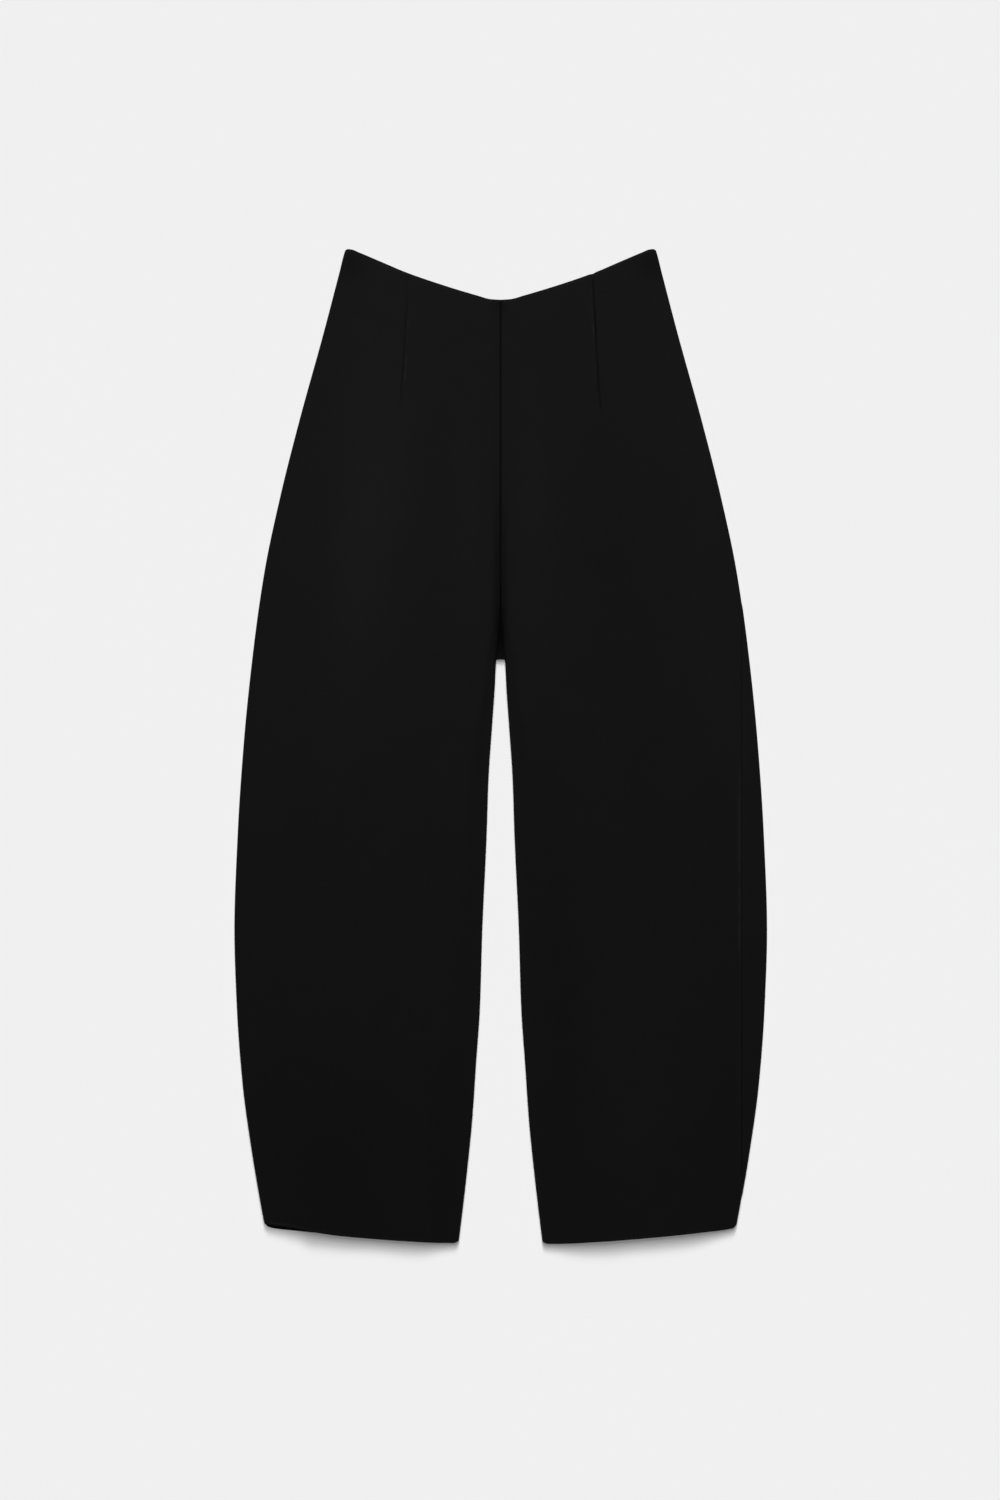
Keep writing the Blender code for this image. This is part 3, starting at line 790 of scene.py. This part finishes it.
def rim_light(side, station, x, is_front):
    """The folded edges catch a little light just inside the waist edge and the hem."""
    from_waist = mound(station - RIM_FROM_EDGE, RIM_WIDTH)
    from_hem = mound(LENGTH - station - RIM_FROM_EDGE, RIM_WIDTH)
    hem_share = HEM_RIM_SHARE
    if is_front:
        hem_share = hem_share + CAUGHT_RIM_SHARE * hem_catch(station, side, x)
    uneven = 0.4 + 0.6 * unevenness(5.0 + side, x * 1.7)
    return RIM_LIGHT * (from_waist * uneven + hem_share * from_hem)


def painted_light_and_shade(side, station, along, drop, is_front):
    """Painted light and shade on the cloth: broad lighter and darker patches, painted shade down in the
    seams and darts, and painted highlights beside them and along the edges.
    """
    x, _z = section(side, along, drop)
    shade = 1.0 + patches(PAINTED_LIGHT_PATCHES, side, x, drop, "shade")
    if is_front:
        kept, beside = dart_shade(side, station, drop, x)
        shade = shade * kept + beside
        if side == LEFT:
            shade = shade + side_seam_light(along - side_seam(side, drop), drop)
        shade = shade * (1 - SEAM_SHADE * (drop < CROTCH_DROP) * mound(x, SEAM_SHADE_WIDTH))
    else:
        near = smooth(1 - (LENGTH - station) / CAUGHT_LENGTH)
        shade = shade * (1 - CAUGHT_SHADE * near * hem_catch(station, side, x))
    return np.maximum(shade + rim_light(side, station, x, is_front), LEAST_SHADE)


def mesh_from(name, points, quads):
    """A mesh from arrays of points and of four-cornered faces, with its faces turned outwards."""
    a, b, c, d = (points[quads[:, n]] for n in range(4))
    volume = np.einsum("ij,ij->i", a, np.cross(b, c)) + np.einsum("ij,ij->i", a, np.cross(c, d))
    if volume.sum() < 0:
        quads = quads[:, ::-1]
    mesh = bpy.data.meshes.new(name)
    mesh.vertices.add(len(points))
    mesh.vertices.foreach_set("co", points.astype(np.float32).ravel())
    mesh.loops.add(quads.size)
    mesh.loops.foreach_set("vertex_index", quads.astype(np.int32).ravel())
    mesh.polygons.add(len(quads))
    mesh.polygons.foreach_set("loop_start", np.arange(0, quads.size, 4, dtype=np.int32))
    mesh.update(calc_edges=True)
    mesh.validate()
    return mesh


def walled_quads(rows, count):
    """Faces of a closed wall between two grids of points: the outer grid, then the inner one."""
    index = np.arange(rows * count).reshape(rows, count)
    face = np.stack((index[:-1, :-1], index[:-1, 1:], index[1:, 1:], index[1:, :-1]), axis=-1)
    face = face.reshape(-1, 4)
    rim = np.concatenate((index[:, 0], index[-1, 1:], index[-2::-1, -1], index[0, -2:0:-1]))
    after = np.roll(rim, -1)
    other = rows * count
    edge = np.stack((rim, after, after + other, rim + other), axis=-1)
    return np.concatenate((face, face[:, ::-1] + other, edge))


def add_object(name, mesh, finish):
    mesh.materials.append(finish)
    mesh.shade_smooth()
    mesh.set_sharp_from_angle(angle=math.radians(55))
    made = bpy.data.objects.new(name, mesh)
    bpy.context.scene.collection.objects.link(made)
    return made


def add_cloth_maps(mesh, along, drop, shade):
    """The cloth's own map, in metres, and its painted light and shade at each point."""
    doubled = [np.concatenate((grid.ravel(), grid.ravel())) for grid in (along, drop, shade)]
    corners = np.empty(len(mesh.loops), np.int32)
    mesh.loops.foreach_get("vertex_index", corners)
    places = np.stack((doubled[0][corners], doubled[1][corners]), axis=1) * MM
    grain = mesh.uv_layers.new(name="grain")
    grain.data.foreach_set("uv", places.astype(np.float32).ravel())
    painted_shading = mesh.attributes.new("painted_shading", "FLOAT", "POINT")
    painted_shading.data.foreach_set("value", doubled[2].astype(np.float32))


def make_panel(name, side, spread_at, is_front, finish):
    """One panel of the trousers, as a thin closed shell on its solid's form."""
    station, along, drop = lay_out(side, spread_at, is_front)
    outer, inner = panel_points(side, station, along, drop, is_front)
    points = np.concatenate((outer.reshape(-1, 3), inner.reshape(-1, 3)))
    mesh = mesh_from(name, points, walled_quads(*station.shape))
    # Each point's painted light and shade goes into the cloth's attribute
    add_cloth_maps(mesh, along, drop, painted_light_and_shade(side, station, along, drop, is_front))
    return add_object(name, mesh, finish), flat_area(outer)


def flat_area(grid):
    """The area of a grid of points, in square metres."""
    first = np.cross(grid[1:, 1:] - grid[:-1, :-1], grid[1:, :-1] - grid[:-1, 1:])
    return float(np.linalg.norm(first, axis=-1).sum() / 2)


class Value:
    """A shader socket that takes part in Python sums, each adding its own Math node."""

    def __init__(self, graph, socket):
        self.graph = graph
        self.socket = socket

    def sum_with(self, other, operation, turned=False):
        pair = (other, self) if turned else (self, other)
        return self.graph.node("ShaderNodeMath", {"operation": operation}, pair)

    def __add__(self, other):
        return self.sum_with(other, "ADD")

    def __radd__(self, other):
        return self.sum_with(other, "ADD", True)

    def __sub__(self, other):
        return self.sum_with(other, "SUBTRACT")

    def __rsub__(self, other):
        return self.sum_with(other, "SUBTRACT", True)

    def __mul__(self, other):
        return self.sum_with(other, "MULTIPLY")

    def __rmul__(self, other):
        return self.sum_with(other, "MULTIPLY", True)


class Graph:
    """The nodes of one material."""

    def __init__(self, name):
        self.material = bpy.data.materials.new(name)
        self.material.use_nodes = True
        self.nodes = self.material.node_tree.nodes
        self.links = self.material.node_tree.links
        self.shader = self.nodes["Principled BSDF"]

    def node(self, kind, settings=None, inputs=None, output=0):
        """Adds a node, with its settings first and then the values or links of its sockets."""
        made = self.nodes.new(kind)
        for name, value in (settings or {}).items():
            setattr(made, name, value)
        pairs = inputs.items() if isinstance(inputs, dict) else enumerate(inputs or ())
        for key, value in pairs:
            self.give(made.inputs[key], value)
        return Value(self, made.outputs[output])

    def give(self, socket, value):
        if isinstance(value, Value):
            self.links.new(value.socket, socket)
        else:
            socket.default_value = value

    def mix(self, factor, first, second):
        """A mix of two colours."""
        made = self.nodes.new("ShaderNodeMix")
        made.data_type = "RGBA"
        for socket, value in ((made.inputs[0], factor), (made.inputs[6], first), (made.inputs[7], second)):
            self.give(socket, value)
        return Value(self, made.outputs[2])

    def finish(self, **inputs):
        """Sets the shader's own sockets, named with underscores for spaces."""
        for name, value in inputs.items():
            self.give(self.shader.inputs[name.replace("_", " ")], value)
        return self.material


def grey(value, alpha=1.0):
    return (value, value, value, alpha)


def crepe_finish(looks):
    """Matt black crepe: a fine pebbled grain, faint cross threads, and a colour scaled by the painted
    light and shade and a faint random mottle.
    """
    graph = Graph("black_crepe")
    place = graph.node("ShaderNodeUVMap", {"uv_map": "grain"})
    # The painted light and shade of each point, kept in the panel's attribute
    painted_shading = graph.node("ShaderNodeAttribute", {"attribute_name": "painted_shading"}, output=2)
    size = looks.grain_size
    pebble = graph.node(
        "ShaderNodeTexVoronoi",
        {"feature": "SMOOTH_F1"},
        {"Vector": place, "Scale": 1 / size, "Smoothness": 0.6, "Randomness": 1.0},
    )
    cloud = graph.node(
        "ShaderNodeTexNoise", {}, {"Vector": place, "Scale": 26.0, "Detail": 3.0, "Roughness": 0.55}
    )
    mottle = graph.node(
        "ShaderNodeTexNoise", {}, {"Vector": place, "Scale": 0.18 / size, "Detail": 2.0, "Roughness": 0.6}
    )
    warp = graph.node(
        "ShaderNodeTexWave",
        {"wave_type": "BANDS", "bands_direction": "X"},
        {"Vector": place, "Scale": 0.5 / size, "Distortion": 3.5, "Detail": 2.0, "Detail Scale": 1.6},
    )
    weft = graph.node(
        "ShaderNodeTexWave",
        {"wave_type": "BANDS", "bands_direction": "Y"},
        {"Vector": place, "Scale": 0.42 / size, "Distortion": 3.5, "Detail": 2.0, "Detail Scale": 1.6},
    )
    threads = warp * 0.5 + weft * 0.5
    # The colour is scaled by the painted light and shade, with a faint random mottle
    painted_shading_and_mottle = painted_shading * (0.90 + cloud * 0.12 + mottle * 0.08)
    scaled = {0: looks.crepe_colour, "Scale": painted_shading_and_mottle}
    shade = graph.node("ShaderNodeVectorMath", {"operation": "SCALE"}, scaled)
    height = threads * 0.45 + pebble * 0.55
    bump = graph.node(
        "ShaderNodeBump", {}, {"Strength": 0.35, "Distance": looks.grain_depth, "Height": height}
    )
    rough = 0.80 + mottle * 0.12
    return graph.finish(
        Base_Color=shade,
        Roughness=rough,
        Normal=bump,
        Specular_IOR_Level=looks.crepe_gloss,
        Sheen_Weight=looks.crepe_sheen,
        Sheen_Roughness=0.6,
        Sheen_Tint=(0.30, 0.30, 0.31, 1.0),
    )


def tape_finish(looks):
    """Woven zip tape: fine ribs across its width."""
    graph = Graph("black_tape")
    place = graph.node("ShaderNodeTexCoord", output=3)
    ribs = graph.node(
        "ShaderNodeTexWave",
        {"wave_type": "BANDS", "bands_direction": "Y"},
        {"Vector": place, "Scale": 420.0, "Distortion": 1.0, "Detail": 1.0},
    )
    warp = graph.node(
        "ShaderNodeTexWave",
        {"wave_type": "BANDS", "bands_direction": "X"},
        {"Vector": place, "Scale": 300.0, "Distortion": 0.6},
    )
    weave = ribs * 0.7 + warp * 0.3
    bump = graph.node("ShaderNodeBump", {}, {"Strength": 0.5, "Distance": 0.0002, "Height": weave})
    dark, light = grey(looks.tape_shade * 0.8), grey(looks.tape_shade * 1.25)
    return graph.finish(
        Base_Color=graph.mix(weave, dark, light),
        Roughness=0.72 + weave * 0.12,
        Normal=bump,
        Specular_IOR_Level=0.25,
    )


def metal_finish(looks):
    """Black lacquer on die-cast metal, rubbed a little brighter in places."""
    graph = Graph("black_lacquer")
    place = graph.node("ShaderNodeTexCoord", output=3)
    worn = graph.node("ShaderNodeTexNoise", {}, {"Vector": place, "Scale": 900.0, "Detail": 4.0})
    orange_peel = graph.node("ShaderNodeTexNoise", {}, {"Vector": place, "Scale": 2600.0, "Detail": 1.0})
    bump = graph.node("ShaderNodeBump", {}, {"Strength": 0.12, "Distance": 0.0001, "Height": orange_peel})
    rubbed = graph.node("ShaderNodeMapRange", {}, {"Value": worn, 1: 0.58, 2: 0.74, 3: 0.0, 4: 0.5})
    return graph.finish(
        Base_Color=graph.mix(rubbed, grey(looks.metal_shade), grey(looks.metal_shade * 4)),
        Roughness=0.28 + worn * 0.2,
        Metallic=0.85,
        Normal=bump,
    )


def thread_finish(looks):
    """Black sewing thread: two plies, twisted."""
    graph = Graph("black_thread")
    place = graph.node("ShaderNodeTexCoord", output=3)
    twist = graph.node(
        "ShaderNodeTexWave",
        {"wave_type": "BANDS", "bands_direction": "DIAGONAL"},
        {"Vector": place, "Scale": 1500.0, "Distortion": 0.5},
    )
    bump = graph.node("ShaderNodeBump", {}, {"Strength": 0.4, "Distance": 0.0001, "Height": twist})
    dark, light = grey(looks.thread_shade * 0.8), grey(looks.thread_shade * 1.4)
    return graph.finish(
        Base_Color=graph.mix(twist, dark, light),
        Roughness=0.5 + twist * 0.15,
        Normal=bump,
        Specular_IOR_Level=0.3,
    )


def floor_finish(stage):
    """A plain pale matt floor."""
    graph = Graph("pale_floor")
    place = graph.node("ShaderNodeTexCoord", output=3)
    cloud = graph.node("ShaderNodeTexNoise", {}, {"Vector": place, "Scale": 1.5, "Detail": 2.0})
    low, high = grey(stage.floor_shade * 0.998), grey(stage.floor_shade * 1.002)
    return graph.finish(Base_Color=graph.mix(cloud, low, high), Roughness=1.0, Specular_IOR_Level=0.0)


def declare(piece, slot, *nodes):
    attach(piece, "trousers")
    if nodes:
        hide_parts(*nodes)


class RowTree:
    """Geometry nodes that set one small shape at an even pitch along a line of points."""

    def __init__(self, name, sizes):
        self.tree = bpy.data.node_groups.new(name, "GeometryNodeTree")
        face = self.tree.interface
        face.new_socket("Line", in_out="INPUT", socket_type="NodeSocketGeometry")
        for label, value in sizes.items():
            size = face.new_socket(label, in_out="INPUT", socket_type="NodeSocketFloat")
            size.default_value = value
        face.new_socket("Row", in_out="OUTPUT", socket_type="NodeSocketGeometry")
        self.given = self.tree.nodes.new("NodeGroupInput").outputs
        self.result = self.tree.nodes.new("NodeGroupOutput").inputs["Row"]

    def node(self, kind, inputs=None, **settings):
        """Adds a node and gives its first output."""
        made = self.tree.nodes.new(kind)
        for name, value in settings.items():
            setattr(made, name, value)
        for name, value in (inputs or {}).items():
            if isinstance(value, bpy.types.NodeSocket):
                self.tree.links.new(value, made.inputs[name])
            else:
                made.inputs[name].default_value = value
        return made.outputs[0]

    def set_along_line(self, shape, finish, turned=None):
        """Sets the shape at each step of the line, turned as told, with its material."""
        curve = self.node("GeometryNodeMeshToCurve", {"Mesh": self.given["Line"]})
        steps = {"Curve": curve, "Length": self.given["Pitch"]}
        even = self.node("GeometryNodeResampleCurve", steps, mode="LENGTH")
        placed = {"Points": even, "Instance": shape}
        if turned:
            placed["Rotation"] = turned
        row = self.node("GeometryNodeInstanceOnPoints", placed)
        row = self.node("GeometryNodeRealizeInstances", {"Geometry": row})
        row = self.node("GeometryNodeSetShadeSmooth", {"Geometry": row})
        row = self.node("GeometryNodeSetMaterial", {"Geometry": row, "Material": finish})
        self.tree.links.new(row, self.result)
        return self.tree


def sewing_tree(finish, looks):
    """Small stitches, each lying along its line."""
    sizes = {"Pitch": looks.stitch_pitch, "Length": looks.stitch_pitch * STITCH_SHARE, "Thread": THREAD}
    row = RowTree("stitches_along_a_line", sizes)
    ball = row.node("GeometryNodeMeshUVSphere", {"Segments": 8, "Rings": 6, "Radius": 0.5})
    across = row.given["Thread"]
    size = row.node("ShaderNodeCombineXYZ", {"X": row.given["Length"], "Y": across, "Z": across})
    stitch = row.node("GeometryNodeTransform", {"Geometry": ball, "Scale": size})
    along = row.node("GeometryNodeInputTangent")
    turned = row.node("FunctionNodeAlignRotationToVector", {"Vector": along}, axis="X")
    return row.set_along_line(stitch, finish, turned)


def line_mesh(name, lines):
    """Lines of points as a mesh of loose edges."""
    mesh = bpy.data.meshes.new(name)
    points, edges = [], []
    for line in lines:
        first = len(points)
        points += [tuple(point) for point in line]
        edges += [(n, n + 1) for n in range(first, len(points) - 1)]
    mesh.from_pydata(points, edges, [])
    return mesh


def finish_node(node, finish):
    """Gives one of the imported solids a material."""
    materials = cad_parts[node].data.materials
    materials.clear()
    materials.append(finish)


def sew(name, lines, tree, sizes):
    """Stitches along lines, made by the tree and then turned into a plain mesh."""
    guide = bpy.data.objects.new(name + "_guide", line_mesh(name + "_guide", lines))
    bpy.context.scene.collection.objects.link(guide)
    modifier = guide.modifiers.new("sewing", "NODES")
    modifier.node_group = tree
    for item in tree.interface.items_tree:
        if item.in_out == "INPUT" and item.name in sizes:
            modifier[item.identifier] = sizes[item.name]
    bpy.context.view_layer.update()
    graph = bpy.context.evaluated_depsgraph_get()
    mesh = bpy.data.meshes.new_from_object(guide.evaluated_get(graph))
    mesh.name = name
    guide.modifiers.remove(modifier)
    bpy.data.objects.remove(guide, do_unlink=True)
    made = bpy.data.objects.new(name, mesh)
    bpy.context.scene.collection.objects.link(made)
    return made


def row_across(side, station, spread_at, is_front):
    """A line of points on the inner face of a turning, along one station of a panel."""
    lanes = len(spread_at(side, np.array([station])))
    along, drop = settle(np.full((1, lanes), station), side, spread_at, is_front)
    x, z = section(side, along, drop)
    nx, nz = outward(side, along, drop)
    place = (side * (x - nx * TURNED_CLOTH), LENGTH / 2 - drop, z - nz * TURNED_CLOTH)
    return (np.stack(place, axis=-1) * MM)[0][END_COLUMNS:-END_COLUMNS]


def coil_tree(name, side, finish):
    """The turns of a closed zip's coil, each leaning toward the other side's."""
    row = RowTree("coil_" + name, {"Pitch": COIL_PITCH, "Radius": COIL_RADIUS, "Wire": COIL_WIRE})
    circle = "GeometryNodeCurvePrimitiveCircle"
    ring = row.node(circle, {"Resolution": 10, "Radius": row.given["Radius"]})
    wire = row.node(circle, {"Resolution": 6, "Radius": row.given["Wire"]})
    tube = row.node("GeometryNodeCurveToMesh", {"Curve": ring, "Profile Curve": wire})
    stand = {
        "Geometry": tube,
        "Rotation": (math.radians(90), 0.0, COIL_LEAN * side),
        "Scale": (COIL_STRETCH, 1.0, 1.0),
    }
    return row.set_along_line(row.node("GeometryNodeTransform", stand), finish)


def make_coil(hand, side, finish):
    """One side of the zip's closed coil, which lies on the tape's inner edge."""
    name = f"zip_tape_{hand}"
    low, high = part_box(name)
    places = np.linspace(low[1] + COIL_START, high[1] - COIL_END, COIL_POINTS)
    line = [(side * COIL_FROM_MIDDLE * MM, y, tape_top(y) + COIL_OVER_TAPE) for y in places]
    return sew(f"zip_coil_{hand}", [line], coil_tree(name, side, finish), {})


def tape_top(y):
    """The height of the zip tape's upper face beside the middle line."""
    drop = np.array([LENGTH / 2 - y / MM])
    lift = underside_lift(np.array([BESIDE_MIDDLE]), drop)
    in_turning = drop[0] - WAIST_EDGE["drop"][0] < WAIST_TURN + TURN_STEP
    cloth = SOLID_TURNED_CLOTH if in_turning else SOLID_CLOTH
    return float(lift[0] + cloth + TAPE_TOP) * MM


class TrouserLooks(bpy.types.PropertyGroup):
    crepe_colour: FloatVectorProperty(
        name="Crepe colour",
        description="Colour of the cloth",
        subtype="COLOR",
        size=3,
        min=0.0,
        max=1.0,
        default=(0.0094, 0.0094, 0.0094),
    )
    crepe_sheen: FloatProperty(
        name="Sheen", description="Soft light from the cloth's fibres", default=0.04, min=0.0, max=1.0
    )
    crepe_gloss: FloatProperty(
        name="Gloss", description="Specular level of the cloth", default=0.08, min=0.0, max=1.0
    )
    grain_size: FloatProperty(
        name="Grain size", description="Width of one pebble of the crepe", default=0.0011, unit="LENGTH"
    )
    grain_depth: FloatProperty(
        name="Grain depth", description="Height of the crepe's grain", default=0.00018, unit="LENGTH"
    )
    tape_shade: FloatProperty(name="Tape shade", description="Grey of the zip tape", default=0.008)
    metal_shade: FloatProperty(name="Metal shade", description="Grey of the zip's metal", default=0.018)
    thread_shade: FloatProperty(name="Thread shade", description="Grey of the thread", default=0.007)
    stitch_pitch: FloatProperty(
        name="Stitch pitch", description="From one stitch to the next", default=0.0028, unit="LENGTH"
    )


class TrouserStage(bpy.types.PropertyGroup):
    floor_shade: FloatProperty(name="Floor shade", description="Grey of the floor", default=0.8)
    floor_bright: FloatProperty(
        name="Floor brightness", description="How bright the lit floor looks", default=0.8714
    )
    shade_share: FloatProperty(
        name="Shade share", description="Light that is left in the deepest shadow", default=0.24
    )
    cloth_share: FloatProperty(
        name="Cloth share", description="Light on the cloth, as a share of that on the floor", default=0.32
    )
    lamp_power: FloatProperty(
        name="Lamp power", description="Power of the lamp over the waist", default=4.6, unit="POWER"
    )
    frame_height: FloatProperty(
        name="Frame height", description="How much the photograph takes in", default=1.5868, unit="LENGTH"
    )
    lens: FloatProperty(name="Lens", description="Focal length in millimetres", default=100.0)


class TROUSERS_OT_fronts(bpy.types.Operator):
    """Makes the two front panels, with their darts and folds"""

    bl_idname = "trousers.make_fronts"
    bl_label = "Make fronts"

    def execute(self, context):
        finish = shared("black_crepe", crepe_finish, context)
        for hand, side in HANDS:
            piece, area = make_panel(f"front_{hand}_cloth", side, front_spread, True, finish)
            declare(piece, "crepe", f"front_{hand}")
        return {"FINISHED"}


class TROUSERS_OT_backs(bpy.types.Operator):
    """Makes the two back panels, which lie on the surface"""

    bl_idname = "trousers.make_backs"
    bl_label = "Make backs"

    def execute(self, context):
        finish = shared("black_crepe", crepe_finish, context)
        for hand, side in HANDS:
            piece, area = make_panel(f"back_{hand}_cloth", side, back_spread, False, finish)
            declare(piece, "crepe", f"back_{hand}")
        return {"FINISHED"}


class TROUSERS_OT_zip(bpy.types.Operator):
    """Finishes the concealed zip: tapes, coil, slider and pull tab"""

    bl_idname = "trousers.make_zip"
    bl_label = "Make zip"

    def execute(self, context):
        tape = shared("black_tape", tape_finish, context)
        metal = shared("black_lacquer", metal_finish, context)
        thread = shared("black_thread", thread_finish, context)
        for hand, side in HANDS:
            finish_node(f"zip_tape_{hand}", tape)
            declare(make_coil(hand, side, thread), "zip_tape")
        for node in ("zip_slider", "zip_pull"):
            finish_node(node, metal)
        return {"FINISHED"}


class TROUSERS_OT_sewing(bpy.types.Operator):
    """Sews the hems and the waist turning"""

    bl_idname = "trousers.make_sewing"
    bl_label = "Make sewing"

    def execute(self, context):
        thread = shared("black_thread", thread_finish, context)
        tree = sewing_tree(thread, context.scene.trouser_looks)
        for hand, side in HANDS:
            front = row_across(side, WAIST_STITCH_STATION, front_spread, True)
            back = row_across(side, WAIST_STITCH_STATION, back_spread, False)[:-ZIP_COLUMNS]
            declare(sew(f"waist_stitches_{hand}", [front, back], tree, {}), "crepe")
            front = row_across(side, HEM_STITCH_STATION, front_spread, True)
            back = row_across(side, HEM_STITCH_STATION, back_spread, False)
            declare(sew(f"hem_stitches_{hand}", [front, back], tree, HEM_STITCH), "crepe")
        return {"FINISHED"}


class TROUSERS_OT_stage(bpy.types.Operator):
    """Sets the floor, the lights and the camera"""

    bl_idname = "trousers.make_stage"
    bl_label = "Make stage"

    def execute(self, context):
        stage = context.scene.trouser_stage
        make_floor(stage)
        make_lights(stage)
        make_camera(stage)
        context.scene.view_settings.view_transform = "Standard"
        return {"FINISHED"}


def shared(name, make, context):
    """A material that several pieces use, made once."""
    found = bpy.data.materials.get(name)
    return found or make(context.scene.trouser_looks)


def make_floor(stage):
    build = bmesh.new()
    bmesh.ops.create_grid(build, x_segments=2, y_segments=2, size=FLOOR_HALF_SIZE)
    mesh = bpy.data.meshes.new("floor")
    build.to_mesh(mesh)
    build.free()
    mesh.materials.append(floor_finish(stage))
    floor = bpy.data.objects.new("floor", mesh)
    bpy.context.scene.collection.objects.link(floor)


def sun(name, strength, elevation, azimuth, softness):
    """A sun that shines from this azimuth, counted from +X to +Y."""
    light = bpy.data.lights.new(name, "SUN")
    light.energy = strength
    light.angle = softness
    made = bpy.data.objects.new(name, light)
    bpy.context.scene.collection.objects.link(made)
    flat = math.cos(elevation)
    towards = Vector((flat * math.cos(azimuth), flat * math.sin(azimuth), math.sin(elevation)))
    made.rotation_euler = towards.to_track_quat("Z", "Y").to_euler()
    return made


def lit_only(lights, name, pieces):
    """These lights shine on these pieces alone."""
    group = bpy.data.collections.new(name)
    for piece in pieces:
        group.objects.link(piece)
    for light in lights:
        light.light_linking.receiver_collection = group


def waist_lamp(power):
    """A wide lamp over the waist, which the cloth there catches most."""
    lamp = bpy.data.lights.new("waist_lamp", "AREA")
    lamp.shape = "DISK"
    lamp.size = WAIST_LAMP_SIZE
    lamp.energy = power
    made = bpy.data.objects.new("waist_lamp", lamp)
    bpy.context.scene.collection.objects.link(made)
    made.location = WAIST_LAMP_PLACE
    aim = WAIST_LAMP_AIM - WAIST_LAMP_PLACE
    made.rotation_euler = aim.to_track_quat("-Z", "Y").to_euler()
    return made


def make_lights(stage):
    """A fan of suns from the waist's end for the floor, and softer light on the cloth."""
    upright = math.radians(90)
    floor_light = math.pi * stage.floor_bright / stage.floor_shade
    suns = [sun("high", floor_light * stage.shade_share, upright, 0.0, HIGH_SUN_SOFTNESS)]
    for elevation, share in zip(np.radians(FAN["elevation"]), FAN["share"]):
        strength = floor_light * (1 - stage.shade_share) * share / math.sin(elevation)
        suns.append(sun("fan", strength, elevation, FAN_AZIMUTH, FAN_SOFTNESS))
    pieces = [piece for piece in bpy.data.objects if piece.type == "MESH"]
    lit_only(suns, "lit_by_the_fan", [piece for piece in pieces if piece.name == "floor"])

    strength = floor_light * stage.cloth_share / math.sin(CLOTH_LIGHT_ELEVATION)
    soft = sun("soft", strength, CLOTH_LIGHT_ELEVATION, CLOTH_LIGHT_AZIMUTH, CLOTH_LIGHT_SOFTNESS)
    cloth = [piece for piece in pieces if piece.name != "floor"]
    lit_only([soft, waist_lamp(stage.lamp_power)], "lit_by_the_soft_lights", cloth)

    world = bpy.data.worlds.new("studio")
    world.use_nodes = True
    world.node_tree.nodes["Background"].inputs["Strength"].default_value = 0.0
    bpy.context.scene.world = world


def make_camera(stage):
    """Straight down, with the photograph's framing."""
    camera = bpy.data.cameras.new("camera")
    camera.lens = stage.lens
    camera.sensor_width = SENSOR_WIDTH
    camera.clip_end = 200.0
    made = bpy.data.objects.new("camera", camera)
    bpy.context.scene.collection.objects.link(made)
    distance = stage.frame_height * stage.lens / SENSOR_WIDTH
    made.location = (CAMERA_X, CAMERA_Y, distance + FOLD_RADIUS * MM)
    bpy.context.scene.camera = made


class TROUSERS_PT_panel(bpy.types.Panel):
    """Lists the pieces that can be made"""

    bl_idname = "TROUSERS_PT_panel"
    bl_label = "Barrel leg trousers"
    bl_space_type = "VIEW_3D"
    bl_region_type = "UI"
    bl_category = "Trousers"

    def draw(self, context):
        layout = self.layout
        for operator in OPERATORS:
            layout.operator(operator.bl_idname)
        for group in (context.scene.trouser_looks, context.scene.trouser_stage):
            box = layout.box()
            for name in group.__annotations__:
                box.prop(group, name)


OPERATORS = (
    TROUSERS_OT_fronts,
    TROUSERS_OT_backs,
    TROUSERS_OT_zip,
    TROUSERS_OT_sewing,
    TROUSERS_OT_stage,
)
CLASSES = (TrouserLooks, TrouserStage, *OPERATORS, TROUSERS_PT_panel)


def register():
    for each in CLASSES:
        bpy.utils.register_class(each)
    bpy.types.Scene.trouser_looks = PointerProperty(type=TrouserLooks)
    bpy.types.Scene.trouser_stage = PointerProperty(type=TrouserStage)


def unregister():
    del bpy.types.Scene.trouser_looks
    del bpy.types.Scene.trouser_stage
    for each in reversed(CLASSES):
        bpy.utils.unregister_class(each)


def main():
    register()
    bpy.ops.trousers.make_fronts()
    bpy.ops.trousers.make_backs()
    bpy.ops.trousers.make_zip()
    bpy.ops.trousers.make_sewing()
    bpy.ops.trousers.make_stage()


if __name__ == "__main__":
    main()
